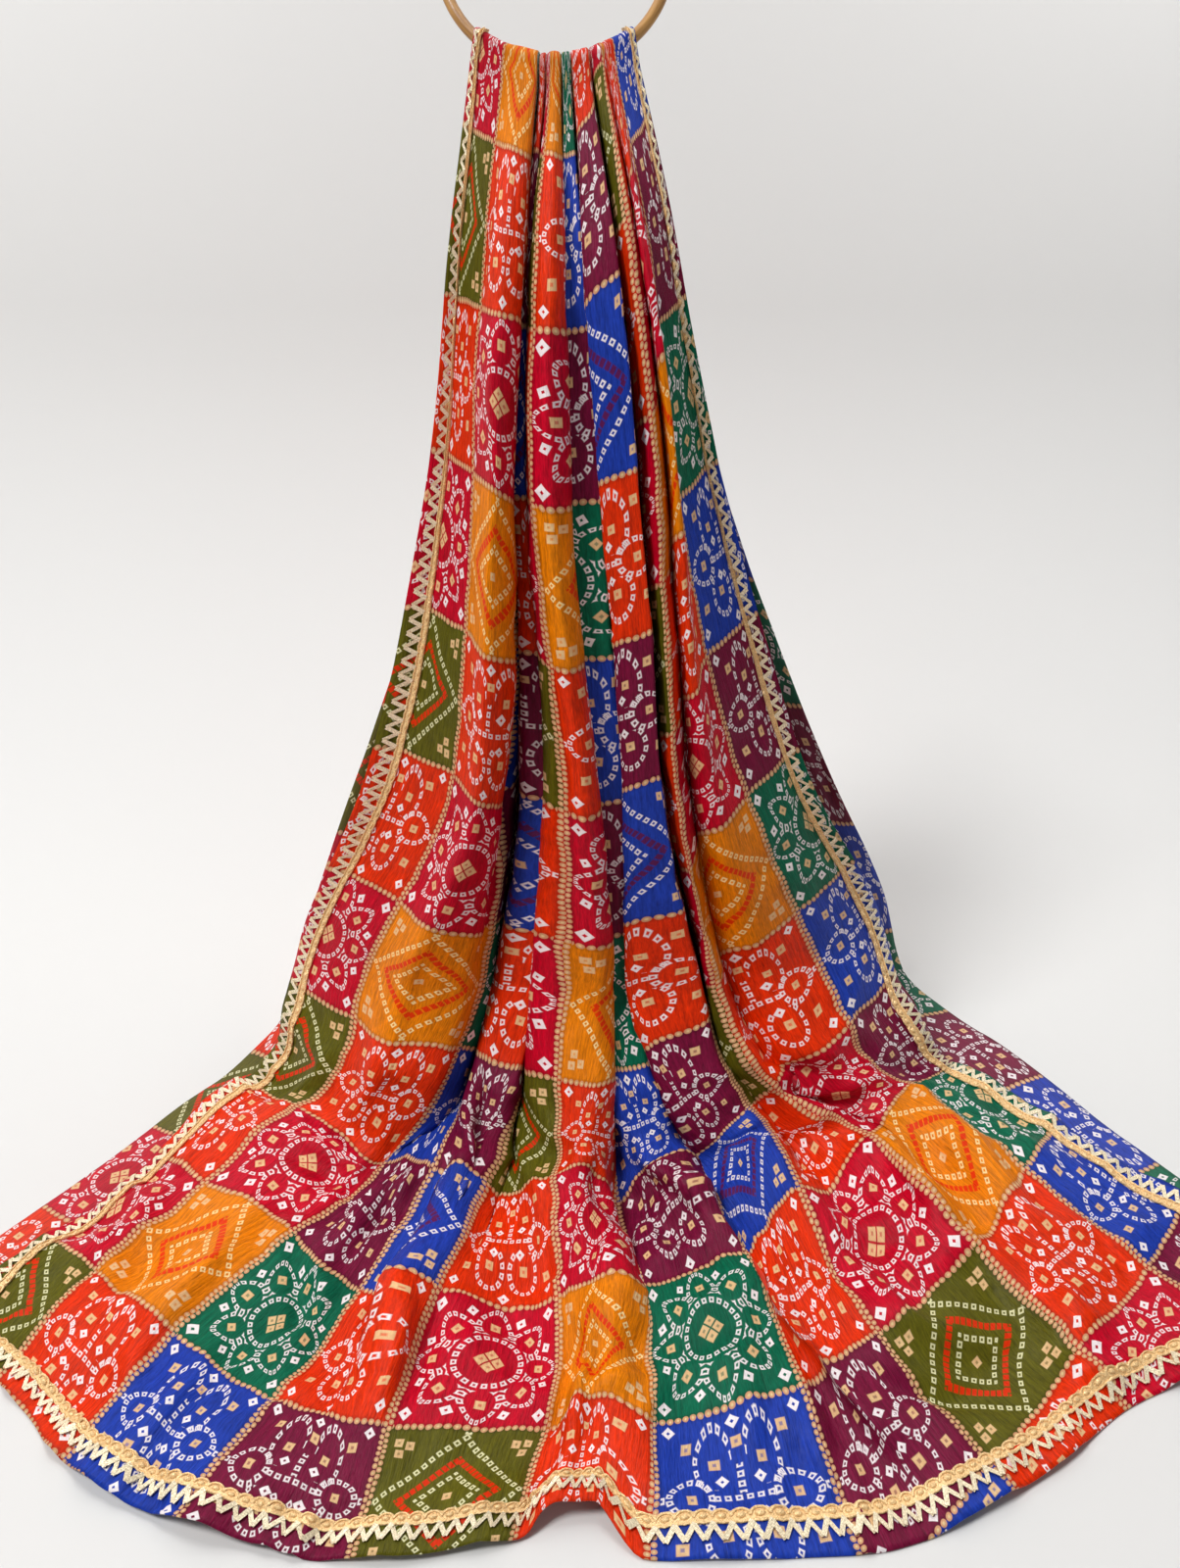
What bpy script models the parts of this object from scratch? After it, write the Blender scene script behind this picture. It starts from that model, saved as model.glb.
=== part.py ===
"""A bandhani cloth drawn through a plain round wooden ring: the front half hangs
in pleats and opens into a fan on the floor, the back half hangs behind it and
lies under the fan. Gold gota lace is sewn along all four sides.

Metres, +Z up, front towards -Y. The origin is the point under the top of the
ring where a hook carries it.
"""
import math

import bpy
import numpy as np

# ---- cloth, flat -----------------------------------------------------------
SQUARE = 0.094              # one dyed square of the print
LEFT, RIGHT = 0.25, 10.75   # the two selvedges, in squares across
FRONT_ROWS = 10.55          # squares from the ring to the front hem
BACK_ROWS = 10.20           # squares from the ring to the back hem
CLOTH_THICK = 0.0012

# ---- lace ------------------------------------------------------------------
LACE_WIDE = 0.016
LACE_THICK = 0.0010
SIDE_MARGIN = 0.004         # cloth left outside the lace on the long edges
HEM_MARGIN = 0.008          # and on the hems
GAP = 0.0005

# ---- ring ------------------------------------------------------------------
RING_OUTER = 0.137          # outside diameter
TUBE = 0.0065               # thickness of the wood
RING_LEAN = math.radians(28)  # the cloth pulls the foot of the ring forward
RING_FOOT = 0.6695          # centre of the wood at the foot, above the floor
WRAP = 0.0055               # radius at which the cloth turns over the wood
RING_FOLD = 0.0024          # height of the pleats there

RING_MEAN = (RING_OUTER - TUBE) / 2
HOOK_Y = 2 * RING_MEAN * math.sin(RING_LEAN)
HOOK_Z = RING_FOOT + 2 * RING_MEAN * math.cos(RING_LEAN) - TUBE / 2

# Each fold runs the whole length. across: its place on the flat cloth, in
# squares. fore: 1 on the crest of a pleat, 0 in its valley. The next four are
# its place left or right of the middle, mm, at the ring, the chest, the waist
# and the knee of the front half. The last three are its rise above the floor, mm.
FOLDS = """
across fore  ring chest waist knee  land mid hem
 0.25  0.35   -48   -80  -136 -189     0   0   0
 0.62  0.50   -40   -68  -104 -156     5   4   1
 1.00  0.62   -30   -56   -73 -124    14   6   1
 1.45  1.00   -20   -42   -54  -97    22  11   4
 1.86  0.80   -11   -28   -38  -72    10  15   2
 2.60  0.00  -9.4 -25.5   -33  -47    26   6   5
 3.45  0.45  -7.6   -23   -27  -34    19   5   8
 3.80  0.55  -6.4 -18.5   -15  -17    38  20   2
 4.25  0.10    -5 -16.5   -11  -15    10  18   3
 4.75  0.62  -3.6 -14.5    -6  -11    22   5   6
 5.03  0.90  -2.2   -11     7   10    35  10   3
 5.40  1.00     0    -3    14   22    42  18  13
 5.68  0.82   2.6     4    20   30    29  25  17
 6.00  0.15   4.2     6    22   32     6   8   3
 6.30  0.72   5.8   8.2    24   34    19   5   1
 6.75  0.74   8.6    22    40   50    26  10   1
 7.10  0.10  10.2    24    43   52     6   6   2
 7.38  0.80  11.8    26    46   55    22   9   2
 7.92  0.85    20    44    65   90    29  18   7
 8.40  0.00  21.8  46.5    67   96     5   8   4
 8.76  0.60  23.6    49    71   99    16  11   2
 9.00  0.88  28.5  53.5    76  103    26  15   5
 9.30  0.55  30.5    62    88  112    19  11   3
 9.62  0.85  32.5    69   103  139    32  14   2
10.00  0.75  35.5    73   122  171    22   8   3
10.38  0.55    42    85   143  203    10   5   1
10.75  0.40    48    95   163  234     0   0   0
"""

# The fan of the front half on the floor: left or right (x) and forward of the
# ring (y), mm, where the cloth lands, half way, and at the hem.
FAN = """
across  land_x land_y  mid_x mid_y  hem_x hem_y
 0.25    -241    75    -304   197   -370   285
 1.00    -188   127    -259   232   -314   317
 2.00    -122   180    -195   276   -258   368
 3.00     -91   196    -133   313   -185   404
 4.00     -52   202     -79   321    -96   421
 5.00       2   204       5   317    -17   411
 5.60      22   200      28   312     18   396
 6.00      37   192      51   307     50   420
 7.00      87   172     123   285    152   417
 8.00     134   156     173   290    235   388
 9.00     188   138     255   246    317   337
10.00     247   108     331   214    407   294
10.75     295    57     380   156    456   245
"""

# The back half under it.
BACK_FAN = """
across  land_x land_y  mid_x mid_y  hem_x hem_y
 0.25    -262    60    -330   172   -378   245
 3.00    -100   150    -140   282   -170   370
 5.50      20   165      25   290     20   372
 8.00     150   128     190   258    235   346
10.75     330    -5     398   124    446   209
"""

# One row for each level from the ring down. rows: squares down from the top of
# the ring. forward, height: the valleys of the front pleats, mm from the ring
# and above the floor. bow: how fast the sides fall back (1/m). lean: the way a
# crest points, from 0 forward to 90 up. depth: crest to valley, mm.
LEVELS = """
rows   forward height  bow  lean depth
 0.30     6.5   658    0.0    4    8
 1.10     8     588    0.1    7   46
 2.20     8     481    0.3    8   74
 4.55    36     263    0.8    8   76
 6.10    66     112    1.4   22   62
"""
# The knee, between hanging and lying, as a share of the way to the landing.
KNEE_ROWS, KNEE_SHARE, KNEE_HEIGHT = 6.90, 0.36, 0.042
LAND_ROWS, MID_ROWS = 7.75, 9.15
LIE = 0.0062                # height of the front half over the back one
BACK_LIE = CLOTH_THICK / 2
BACK_LACE_LIFT = 0.0019     # the back half rises over its own lace
# How much wider the back half hangs than the front: share and shift, mm.
BACK_WIDER = """
rows  share shift
 0.30  1.00   0
 1.10  1.01   0
 2.20  1.03   0
 4.55  1.07   4
 6.10  1.07   6
"""
BACK_GAP = """
rows  gap
 0.30  11
 1.10  10
 2.20   8
 4.55   7
 6.10   8
"""


def table(text):
    lines = [line.split() for line in text.strip().splitlines()]
    numbers = np.array([[float(v) for v in line] for line in lines[1:]])
    return {name: numbers[:, i] for i, name in enumerate(lines[0])}


def smooth(x, xs, ys):
    """Monotone cubic through the rows of a table: flat on each crest and valley."""
    xs = np.asarray(xs, float)
    ys = np.asarray(ys, float)
    x = np.clip(x, xs[0], xs[-1])
    h = np.diff(xs)
    shape = (-1,) + (1,) * (ys.ndim - 1)
    d = np.diff(ys, axis=0) / h.reshape(shape)
    m = np.zeros_like(ys)
    m[0], m[-1] = d[0], d[-1]
    a, b = d[:-1], d[1:]
    w1 = (2 * h[1:] + h[:-1]).reshape(shape)
    w2 = (h[1:] + 2 * h[:-1]).reshape(shape)
    same = a * b > 0
    with np.errstate(divide="ignore", invalid="ignore"):
        m[1:-1] = np.where(same, (w1 + w2) / (w1 / a + w2 / b), 0)
    i = np.clip(np.searchsorted(xs, x, side="right") - 1, 0, len(h) - 1)
    t = (x - xs[i]) / h[i]
    if ys.ndim > 1:
        t = t[..., None]
        hi = h[i][..., None]
    else:
        hi = h[i]
    return (
        (1 + 2 * t) * (1 - t) ** 2 * ys[i]
        + t * (1 - t) ** 2 * hi * m[i]
        + t * t * (3 - 2 * t) * ys[i + 1]
        + t * t * (t - 1) * hi * m[i + 1]
    )


folds, fan, back_fan = table(FOLDS), table(FAN), table(BACK_FAN)
levels, wider, back_gap = table(LEVELS), table(BACK_WIDER), table(BACK_GAP)
QUARTER = WRAP * math.pi / 2 / SQUARE   # rows used by a quarter turn over the wood


def ring_rise(x):
    """How much higher the wood is at x than at the foot of the ring."""
    x = np.clip(np.abs(x), 0, RING_MEAN * 0.95)
    return (RING_MEAN - np.sqrt(RING_MEAN**2 - x**2)) * math.cos(RING_LEAN)


def lines_at(front):
    """Control points of every fold at every level: rows, and (levels, folds, 3)."""
    u = folds["across"]
    fore = folds["fore"]
    side = 1.0 if front else -1.0
    rise = ring_rise(folds["ring"] * 0.86e-3)
    rows, points = [], []
    hanging = np.stack([folds[k] for k in ("ring", "chest", "waist", "knee")]) / 1000
    at = np.array([0.30, 2.20, 4.55, 6.10])
    for i, row in enumerate(levels["rows"]):
        x = smooth(np.array([row]), at, hanging)[0]
        depth = levels["depth"][i] / 1000
        lean = math.radians(levels["lean"][i])
        forward = levels["forward"][i] / 1000
        height = levels["height"][i] / 1000
        fade = max(0.0, 1 - row / 4.0) ** 1.5
        if not front:
            x = x * wider["share"][i] + wider["shift"][i] / 1000
            gap = back_gap["gap"][i] / 1000
            forward -= gap * math.cos(lean)
            height -= gap * math.sin(lean)
        y = forward - levels["bow"][i] * x**2 + side * fore * depth * math.cos(lean)
        z = height + rise * fade + side * fore * depth * math.sin(lean)
        if i == 0:
            y = side * WRAP + side * fore * depth + rise * -math.tan(RING_LEAN)
            z = height + rise
        rows.append(row)
        points.append(np.stack([x, y, z], 1))
    lying = fan if front else back_fan
    land, mid, hem = (
        np.stack([smooth(u, lying["across"], lying[f"{k}_{a}"]) for a in "xy"], 1) / 1000
        for k in ("land", "mid", "hem")
    )
    if front:
        lie = [LIE + folds[k] / 1000 for k in ("land", "mid", "hem")]
        lie[2] = CLOTH_THICK / 2 + folds["hem"] / 1000
        edge = np.minimum(u - LEFT, RIGHT - u)
        lie[2] = lie[2] + 0.0052 * np.clip(1 - edge / 0.5, 0, 1)
    else:
        lie = [np.full(len(u), BACK_LIE)] * 3
    knee = points[-1].copy()
    knee[:, :2] += (land - knee[:, :2]) * KNEE_SHARE
    knee[:, 2] = KNEE_HEIGHT + (fore * 0.034 if front else -0.013 - fore * 0.012)
    if front:
        knee[:, 1] += 0.020 * fore
    else:
        knee[:, 1] -= 0.010
    rows += [KNEE_ROWS, LAND_ROWS, MID_ROWS]
    points.append(knee)
    for flat, z in ((land, lie[0]), (mid, lie[1])):
        points.append(np.column_stack([flat, z]))
    if front:
        # the hem comes down past the edge of the back half
        rows.append(FRONT_ROWS - 0.42)
        part = (rows[-1] - MID_ROWS) / (FRONT_ROWS - MID_ROWS)
        flat = mid + (hem - mid) * part
        points.append(np.column_stack([flat, LIE - 0.0012 + folds["hem"] / 1000]))
    rows.append(FRONT_ROWS if front else BACK_ROWS)
    points.append(np.column_stack([hem, lie[2]]))
    return np.array(rows), np.array(points)


LINES = {True: lines_at(True), False: lines_at(False)}


def cloth_points(u, down):
    """Points of the middle of the cloth. u: squares across. down: squares from
    the top of the ring, positive for the front half and negative for the back."""
    u = np.asarray(u, float)
    fore = smooth(u, folds["across"], folds["fore"])
    rows_out = []
    for value in down:
        front = value >= 0
        row = abs(value)
        rows, points = LINES[front]
        side = 1.0 if front else -1.0
        if row < QUARTER:
            turn = row / QUARTER * math.pi / 2
            x = smooth(u, folds["across"], folds["ring"]) * 0.86e-3
            x = x * (1 + 0.10 * math.sin(turn))
            r = WRAP + fore * RING_FOLD
            rise = ring_rise(x)
            y = side * r * math.sin(turn) - rise * math.tan(RING_LEAN)
            z = RING_FOOT + r * math.cos(turn) + rise
        else:
            here = smooth(np.array([row]), rows, points)[0]
            if row < rows[0]:
                # between the quarter turn and the first level below the wood
                part = (row - QUARTER) / (rows[0] - QUARTER)
                x0 = smooth(u, folds["across"], folds["ring"]) * 0.86e-3 * 1.10
                rise = ring_rise(x0)
                top = np.stack(
                    [x0, side * (WRAP + fore * RING_FOLD) - rise * math.tan(RING_LEAN),
                     RING_FOOT + rise], 1)
                low = smooth(u, folds["across"], points[0])
                x, y, z = (top + (low - top) * part).T
            else:
                x, y, z = smooth(u, folds["across"], here).T
        if not front:
            edge = np.minimum(u - LEFT, RIGHT - u) * SQUARE
            near = np.clip((0.034 - edge) / 0.012, 0, 1)
            left = (BACK_ROWS - row) * SQUARE
            near = np.maximum(near, np.clip((0.038 - left) / 0.012, 0, 1))
            low = np.clip((row - MID_ROWS + 2.2) / 0.9, 0, 1)
            z = z + BACK_LACE_LIFT * near * low
        rows_out.append(np.stack([x, -y - 0.0, z], 1))
    out = np.array(rows_out)
    out[..., 1] -= HOOK_Y
    out[..., 2] -= HOOK_Z
    return out


def normals(points):
    across = np.gradient(points, axis=1)
    along = np.gradient(points, axis=0)
    n = np.cross(along, across)
    return n / np.linalg.norm(n, axis=2, keepdims=True)


def sheet(name, points, thick, material):
    """A grid laid on the points, given its thickness on both sides."""
    rows, columns = points.shape[:2]
    bpy.ops.mesh.primitive_grid_add(x_subdivisions=columns - 1, y_subdivisions=rows - 1, size=1)
    obj = bpy.context.object
    obj.name = obj.data.name = name
    obj.data.vertices.foreach_set("co", points.reshape(-1).astype(np.float32))
    obj.data.update()
    solid = obj.modifiers.new("thickness", "SOLIDIFY")
    solid.thickness = thick
    solid.offset = 0
    solid.use_even_offset = False
    obj.data.shade_smooth()
    obj.data.materials.append(material)
    return obj


def finish(name, colour, rough, metal=0.0):
    material = bpy.data.materials.new(name)
    material.use_nodes = True
    shader = material.node_tree.nodes["Principled BSDF"]
    shader.inputs["Base Color"].default_value = (*colour, 1)
    shader.inputs["Roughness"].default_value = rough
    shader.inputs["Metallic"].default_value = metal
    return material


for old in list(bpy.data.objects):
    bpy.data.objects.remove(old)

cloth_finish = finish("dyed crepe", (0.55, 0.03, 0.04), 0.6)
lace_finish = finish("gold lace", (0.66, 0.48, 0.24), 0.4, 0.6)
wood_finish = finish("light wood", (0.50, 0.31, 0.15), 0.5)

# ---- where the grid lines of the sheet run --------------------------------
side_lace = [SIDE_MARGIN / SQUARE, (SIDE_MARGIN + LACE_WIDE) / SQUARE]
across = list(folds["across"]) + [LEFT + w for w in side_lace] + [RIGHT - w for w in side_lace]
for a, b in zip(folds["across"][:-1], folds["across"][1:]):
    if b - a > 0.30 and min(abs((a + b) / 2 - v) for v in across) > 0.04:
        across.append((a + b) / 2)
across = np.array(sorted(across))

hem_lace = [HEM_MARGIN / SQUARE, (HEM_MARGIN + LACE_WIDE) / SQUARE]
over = [-QUARTER, -QUARTER / 2, 0, QUARTER / 2, QUARTER]
front_rows = [0.30, 0.65, 1.1, 1.7, 2.4, 3.2, 4.0, 4.8, 5.5, 6.1, 6.5, 6.9, 7.3, 7.75,
              8.2, 8.7, 9.2, 9.7]
front_rows += [FRONT_ROWS - w for w in reversed([0.0] + hem_lace)]
back_rows = [0.30, 0.7, 1.4, 2.2, 3.4, 4.6, 5.6, 6.2, 6.6, 7.0, 7.4, 7.75, 8.6]
back_rows += [BACK_ROWS - w for w in reversed([0.0] + hem_lace)]
down = np.array([-r for r in reversed(back_rows)] + over + front_rows)

surface = cloth_points(across, down)
out = normals(surface)
home = bpy.data.collections.new("bandhani cloth on a ring")
bpy.context.scene.collection.children.link(home)

made = [sheet("cloth", surface, CLOTH_THICK, cloth_finish)]


def lace(name, rows, columns):
    """A strip on the outer side of the cloth, over the same grid lines."""
    lift = CLOTH_THICK / 2 + GAP + LACE_THICK / 2
    part = (surface + out * lift)[rows, columns]
    made.append(sheet(name, part, LACE_THICK, lace_finish))


def column(value):
    return int(np.argmin(np.abs(across - value)))


def row_at(value):
    return int(np.argmin(np.abs(down - value)))


hem_in = row_at(FRONT_ROWS - hem_lace[1])
back_in = row_at(-(BACK_ROWS - hem_lace[1]))
left = slice(column(LEFT + side_lace[0]), column(LEFT + side_lace[1]) + 1)
right = slice(column(RIGHT - side_lace[1]), column(RIGHT - side_lace[0]) + 1)
lace("lace_hem_front", slice(hem_in, row_at(FRONT_ROWS - hem_lace[0]) + 1),
     slice(left.start, right.stop))
lace("lace_hem_back", slice(row_at(-(BACK_ROWS - hem_lace[0])), back_in + 1),
     slice(left.start, right.stop))
lace("lace_edge_left", slice(back_in + 1, hem_in), left)
lace("lace_edge_right", slice(back_in + 1, hem_in), right)

# ---- the ring --------------------------------------------------------------
bpy.ops.mesh.primitive_torus_add(
    major_radius=RING_MEAN, minor_radius=TUBE / 2, major_segments=56, minor_segments=10,
    rotation=(math.pi / 2 - RING_LEAN, 0, 0),
    location=(0, -HOOK_Y + RING_MEAN * math.sin(RING_LEAN),
              RING_FOOT + RING_MEAN * math.cos(RING_LEAN) - HOOK_Z))
ring = bpy.context.object
ring.name = ring.data.name = "ring"
ring.data.shade_smooth()
ring.data.materials.append(wood_finish)
made.append(ring)

for obj in made:
    for holder in list(obj.users_collection):
        holder.objects.unlink(obj)
    home.objects.link(obj)
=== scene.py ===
"""The looks of a bandhani cloth drawn through a wooden ring: the crinkled crepe
with its tied dots, the gold gota lace and the wood of the ring."""

import math

import bpy
import numpy as np
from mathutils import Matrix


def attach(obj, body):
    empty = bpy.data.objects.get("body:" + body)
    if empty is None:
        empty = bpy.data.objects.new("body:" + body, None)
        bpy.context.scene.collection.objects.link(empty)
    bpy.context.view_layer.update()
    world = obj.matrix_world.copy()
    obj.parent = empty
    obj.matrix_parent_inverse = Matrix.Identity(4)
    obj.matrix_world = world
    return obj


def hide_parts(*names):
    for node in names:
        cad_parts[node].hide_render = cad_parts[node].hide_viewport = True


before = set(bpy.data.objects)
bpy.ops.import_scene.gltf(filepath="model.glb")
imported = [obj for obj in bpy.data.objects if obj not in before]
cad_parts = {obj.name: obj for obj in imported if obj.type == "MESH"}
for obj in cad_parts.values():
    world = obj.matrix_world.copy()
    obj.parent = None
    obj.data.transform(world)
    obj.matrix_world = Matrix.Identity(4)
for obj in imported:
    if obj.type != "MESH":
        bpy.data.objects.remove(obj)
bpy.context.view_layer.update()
scene = bpy.context.scene

# ---- sizes of the construction, metres and squares ---------------------------
SQUARE = 0.094
LEFT, RIGHT = 0.25, 10.75
FRONT_ROWS, BACK_ROWS = 10.55, 10.20
CLOTH_THICK = 0.0012
LACE_WIDE, SIDE_MARGIN, HEM_MARGIN = 0.016, 0.004, 0.008
RING_OUTER, TUBE = 0.137, 0.0065
RING_LEAN = math.radians(28)
RING_FOOT = 0.6695
WRAP, RING_FOLD = 0.0055, 0.0024
RING_MEAN = (RING_OUTER - TUBE) / 2
HOOK_Y = 2 * RING_MEAN * math.sin(RING_LEAN)
HOOK_Z = RING_FOOT + 2 * RING_MEAN * math.cos(RING_LEAN) - TUBE / 2
QUARTER = WRAP * math.pi / 2 / SQUARE
SHEET = 0.0008              # thickness of the crepe as shown

FOLDS = """
across fore  ring chest waist knee  land mid hem
 0.25  0.35   -48   -80  -136 -189     0   0   0
 0.62  0.50   -40   -68  -104 -156     5   4   1
 1.00  0.62   -30   -56   -73 -124    14   6   1
 1.45  1.00   -20   -42   -54  -97    22  11   4
 1.86  0.80   -11   -28   -38  -72    10  15   2
 2.60  0.00  -9.4 -25.5   -33  -47    26   6   5
 3.45  0.45  -7.6   -23   -27  -34    19   5   8
 3.80  0.55  -6.4 -18.5   -15  -17    38  20   2
 4.25  0.10    -5 -16.5   -11  -15    10  18   3
 4.75  0.62  -3.6 -14.5    -6  -11    22   5   6
 5.03  0.90  -2.2   -11     7   10    35  10   3
 5.40  1.00     0    -3    14   22    42  18  13
 5.68  0.82   2.6     4    20   30    29  25  17
 6.00  0.15   4.2     6    22   32     6   8   3
 6.30  0.72   5.8   8.2    24   34    19   5   1
 6.75  0.74   8.6    22    40   50    26  10   1
 7.10  0.10  10.2    24    43   52     6   6   2
 7.38  0.80  11.8    26    46   55    22   9   2
 7.92  0.85    20    44    65   90    29  18   7
 8.40  0.00  21.8  46.5    67   96     5   8   4
 8.76  0.60  23.6    49    71   99    16  11   2
 9.00  0.88  28.5  53.5    76  103    26  15   5
 9.30  0.55  30.5    62    88  112    19  11   3
 9.62  0.85  32.5    69   103  139    32  14   2
10.00  0.75  35.5    73   122  171    22   8   3
10.38  0.55    42    85   143  203    10   5   1
10.75  0.40    48    95   163  234     0   0   0
"""
FAN = """
across  land_x land_y  mid_x mid_y  hem_x hem_y
 0.25    -241    75    -304   197   -370   285
 1.00    -188   127    -259   232   -314   317
 2.00    -122   180    -195   276   -258   368
 3.00     -91   196    -133   313   -185   404
 4.00     -52   202     -79   321    -96   421
 5.00       2   204       5   317    -17   411
 5.60      22   200      28   312     18   396
 6.00      37   192      51   307     50   420
 7.00      87   172     123   285    152   417
 8.00     134   156     173   290    235   388
 9.00     188   138     255   246    317   337
10.00     247   108     331   214    407   294
10.75     295    57     380   156    456   245
"""
BACK_FAN = """
across  land_x land_y  mid_x mid_y  hem_x hem_y
 0.25    -262    60    -330   172   -378   245
 3.00    -100   150    -140   282   -170   370
 5.50      20   165      25   290     20   372
 8.00     150   128     190   258    235   346
10.75     330    -5     398   124    446   209
"""
LEVELS = """
rows   forward height  bow  lean depth
 0.30     6.5   658    0.0    4    8
 1.10     8     588    0.1    7   46
 2.20     8     481    0.3    8   74
 4.55    36     263    0.8    8   76
 6.10    66     112    1.4   22   62
"""
KNEE_ROWS, KNEE_SHARE, KNEE_HEIGHT = 6.90, 0.36, 0.042
LAND_ROWS, MID_ROWS = 7.75, 9.15
LIE = 0.0062
BACK_LIE = CLOTH_THICK / 2
BACK_LACE_LIFT = 0.0019
BACK_WIDER = """
rows  share shift
 0.30  1.00   0
 1.10  1.01   0
 2.20  1.03   0
 4.55  1.07   4
 6.10  1.07   6
"""
BACK_GAP = """
rows  gap
 0.30  11
 1.10  10
 2.20   8
 4.55   7
 6.10   8
"""

# ---- what is added to the folds here ----------------------------------------
# Creases of the folded cloth, one a row. u0, r0 to u1, r1: its ends, in squares
# across and squares up from the front hem. wide and high in mm: a sharp ridge,
# or a trough where high is negative.
CREASES = """
 u0    r0    u1    r1   wide high
 0.3   5.20  10.7  5.30   5  -1.6
 0.3   8.92  10.7  8.86   4  -1.0
 0.3   6.95  10.7  6.98   4   1.0
 3.0   5.62   8.0  5.58   4   0.9
 0.3   3.45  10.7  3.40   5   1.3
 0.3   1.70  10.7  1.62   5  -1.2
 1.55  3.60   1.50  4.90  5  -2.4
 0.45  1.10   2.20  2.30  9   2.6
 1.10  0.20   1.60  1.60  8   2.2
 2.30  0.30   2.90  1.90  9   2.8
 3.40  0.40   3.75  1.80  9   2.4
 4.40  0.35   4.60  1.60  8   2.0
 6.60  0.50   6.45  1.90  8   2.2
 7.50  0.30   7.20  1.90  9   2.8
 8.40  0.90   7.90  2.40  9   2.6
 9.20  0.60   8.90  2.20  9   2.8
 9.90  1.70   9.30  3.20  9   3.0
10.40  2.30   9.70  3.90  8   2.6
 8.70  3.30   9.90  3.70  8   2.2
 7.10  3.00   7.90  3.60  7   1.8
 5.10  2.40   5.60  3.20  8   2.0
 0.60  2.90   1.60  3.30  8   2.2
 2.10  2.60   3.10  2.90  8   2.0
 6.05  1.24   7.15  1.14  3  -2.4
 6.05  1.12   7.15  1.04  4   1.8
 4.15  1.30   5.00  1.22  4  -1.8
 9.70  3.60  10.50  4.30  7   3.0
 9.75  4.10  10.60  3.60  7  -2.6
 2.30  3.30   2.95  2.50  6   2.4
 5.10  0.95   5.75  1.30  5   2.6
 5.15  1.35   5.70  0.90  5  -2.6
"""


# Rounded folds in the lying cloth, in the same places. wide and high in mm. over:
# how far the top of the fold leans over to its left, looking from its first end.
RIDGES = """
 u0    r0    u1    r1   wide high over
 6.45  3.20  7.00  1.80  11  14.0  -9
 7.00  1.95  7.30  1.05   9   7.0  -5
 6.15  2.85  6.62  1.85  10  -8.0   0
 7.28  1.70  7.58  0.25  11  13.0  -9
 7.02  1.45  7.20  0.35   8  -5.0   0
 3.20  4.10  3.30  1.80  18  14.0  22
 3.78  3.60  3.85  2.10   9  -6.0   0
 3.68  2.15  3.84  0.85  10   9.0   7
 4.06  2.05  4.04  1.00   7  -5.0   0
 2.55  2.80  2.95  1.40  11  -5.0   0
 5.38  1.90  5.40  0.10   8   8.0   4
 5.05  1.60  5.12  0.40   7  -4.0   0
 7.65  0.88  8.45  0.48   8  -7.0   0
 7.95  1.50  8.70  0.75  10   6.0  -3
 9.60  1.90  9.10  0.20  12   7.0  -4
 8.90  1.60  8.75  0.40  10  -5.0   0
 9.30  2.60  8.85  1.50  10   7.0  -5
10.10  3.00  9.55  1.60  10   6.0  -3
 9.75  2.90  9.30  1.80   9  -5.0   0
 8.98  4.90  8.82  3.10  10   4.0  -3
 8.30  3.40  8.85  2.50   9   6.0   5
 1.60  2.10  1.90  0.60  11   7.0   4
 1.15  1.90  1.40  0.40  10  -4.0   0
 2.20  1.30  2.55  0.10  10   6.5   3
 0.70  1.90  0.95  0.50   9   5.0   2
 4.10  2.16  5.20  2.24   9   3.5   0
 4.10  1.92  5.30  1.99   6  -4.0   0
 5.60  3.10  6.00  2.40   8   5.0  -3
 4.60  3.30  4.95  2.50   8   4.0   3
 2.15  1.98  2.72  1.42   7  -5.5   0
 2.38  2.02  2.90  1.60   7   5.0  -3
 1.72  1.98  2.08  1.72   6  -4.0   0
 1.20  2.60  1.90  2.85   8   4.5   0
 1.10  2.42  1.95  2.62   6  -3.5   0
 0.55  1.35  1.05  1.10   7   3.5   0
 2.03  9.20  2.06  3.90   5 -15.0   0
 8.20  2.05  8.75  1.80   8   4.5   0
 8.15  1.86  8.80  1.62   6  -4.0   0
 9.10  3.55  9.75  3.10   8   5.5  -3
 8.95  3.40  9.60  2.92   6  -4.5   0
 9.80  2.10 10.40  1.80   8   4.5   0
 6.10  1.95  6.95  2.05   7   3.5   0
 6.10  1.80  6.95  1.88   5  -4.0   0
"""


def table(text):
    lines = [line.split() for line in text.strip().splitlines()]
    numbers = np.array([[float(v) for v in line] for line in lines[1:]])
    return {name: numbers[:, i] for i, name in enumerate(lines[0])}


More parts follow.
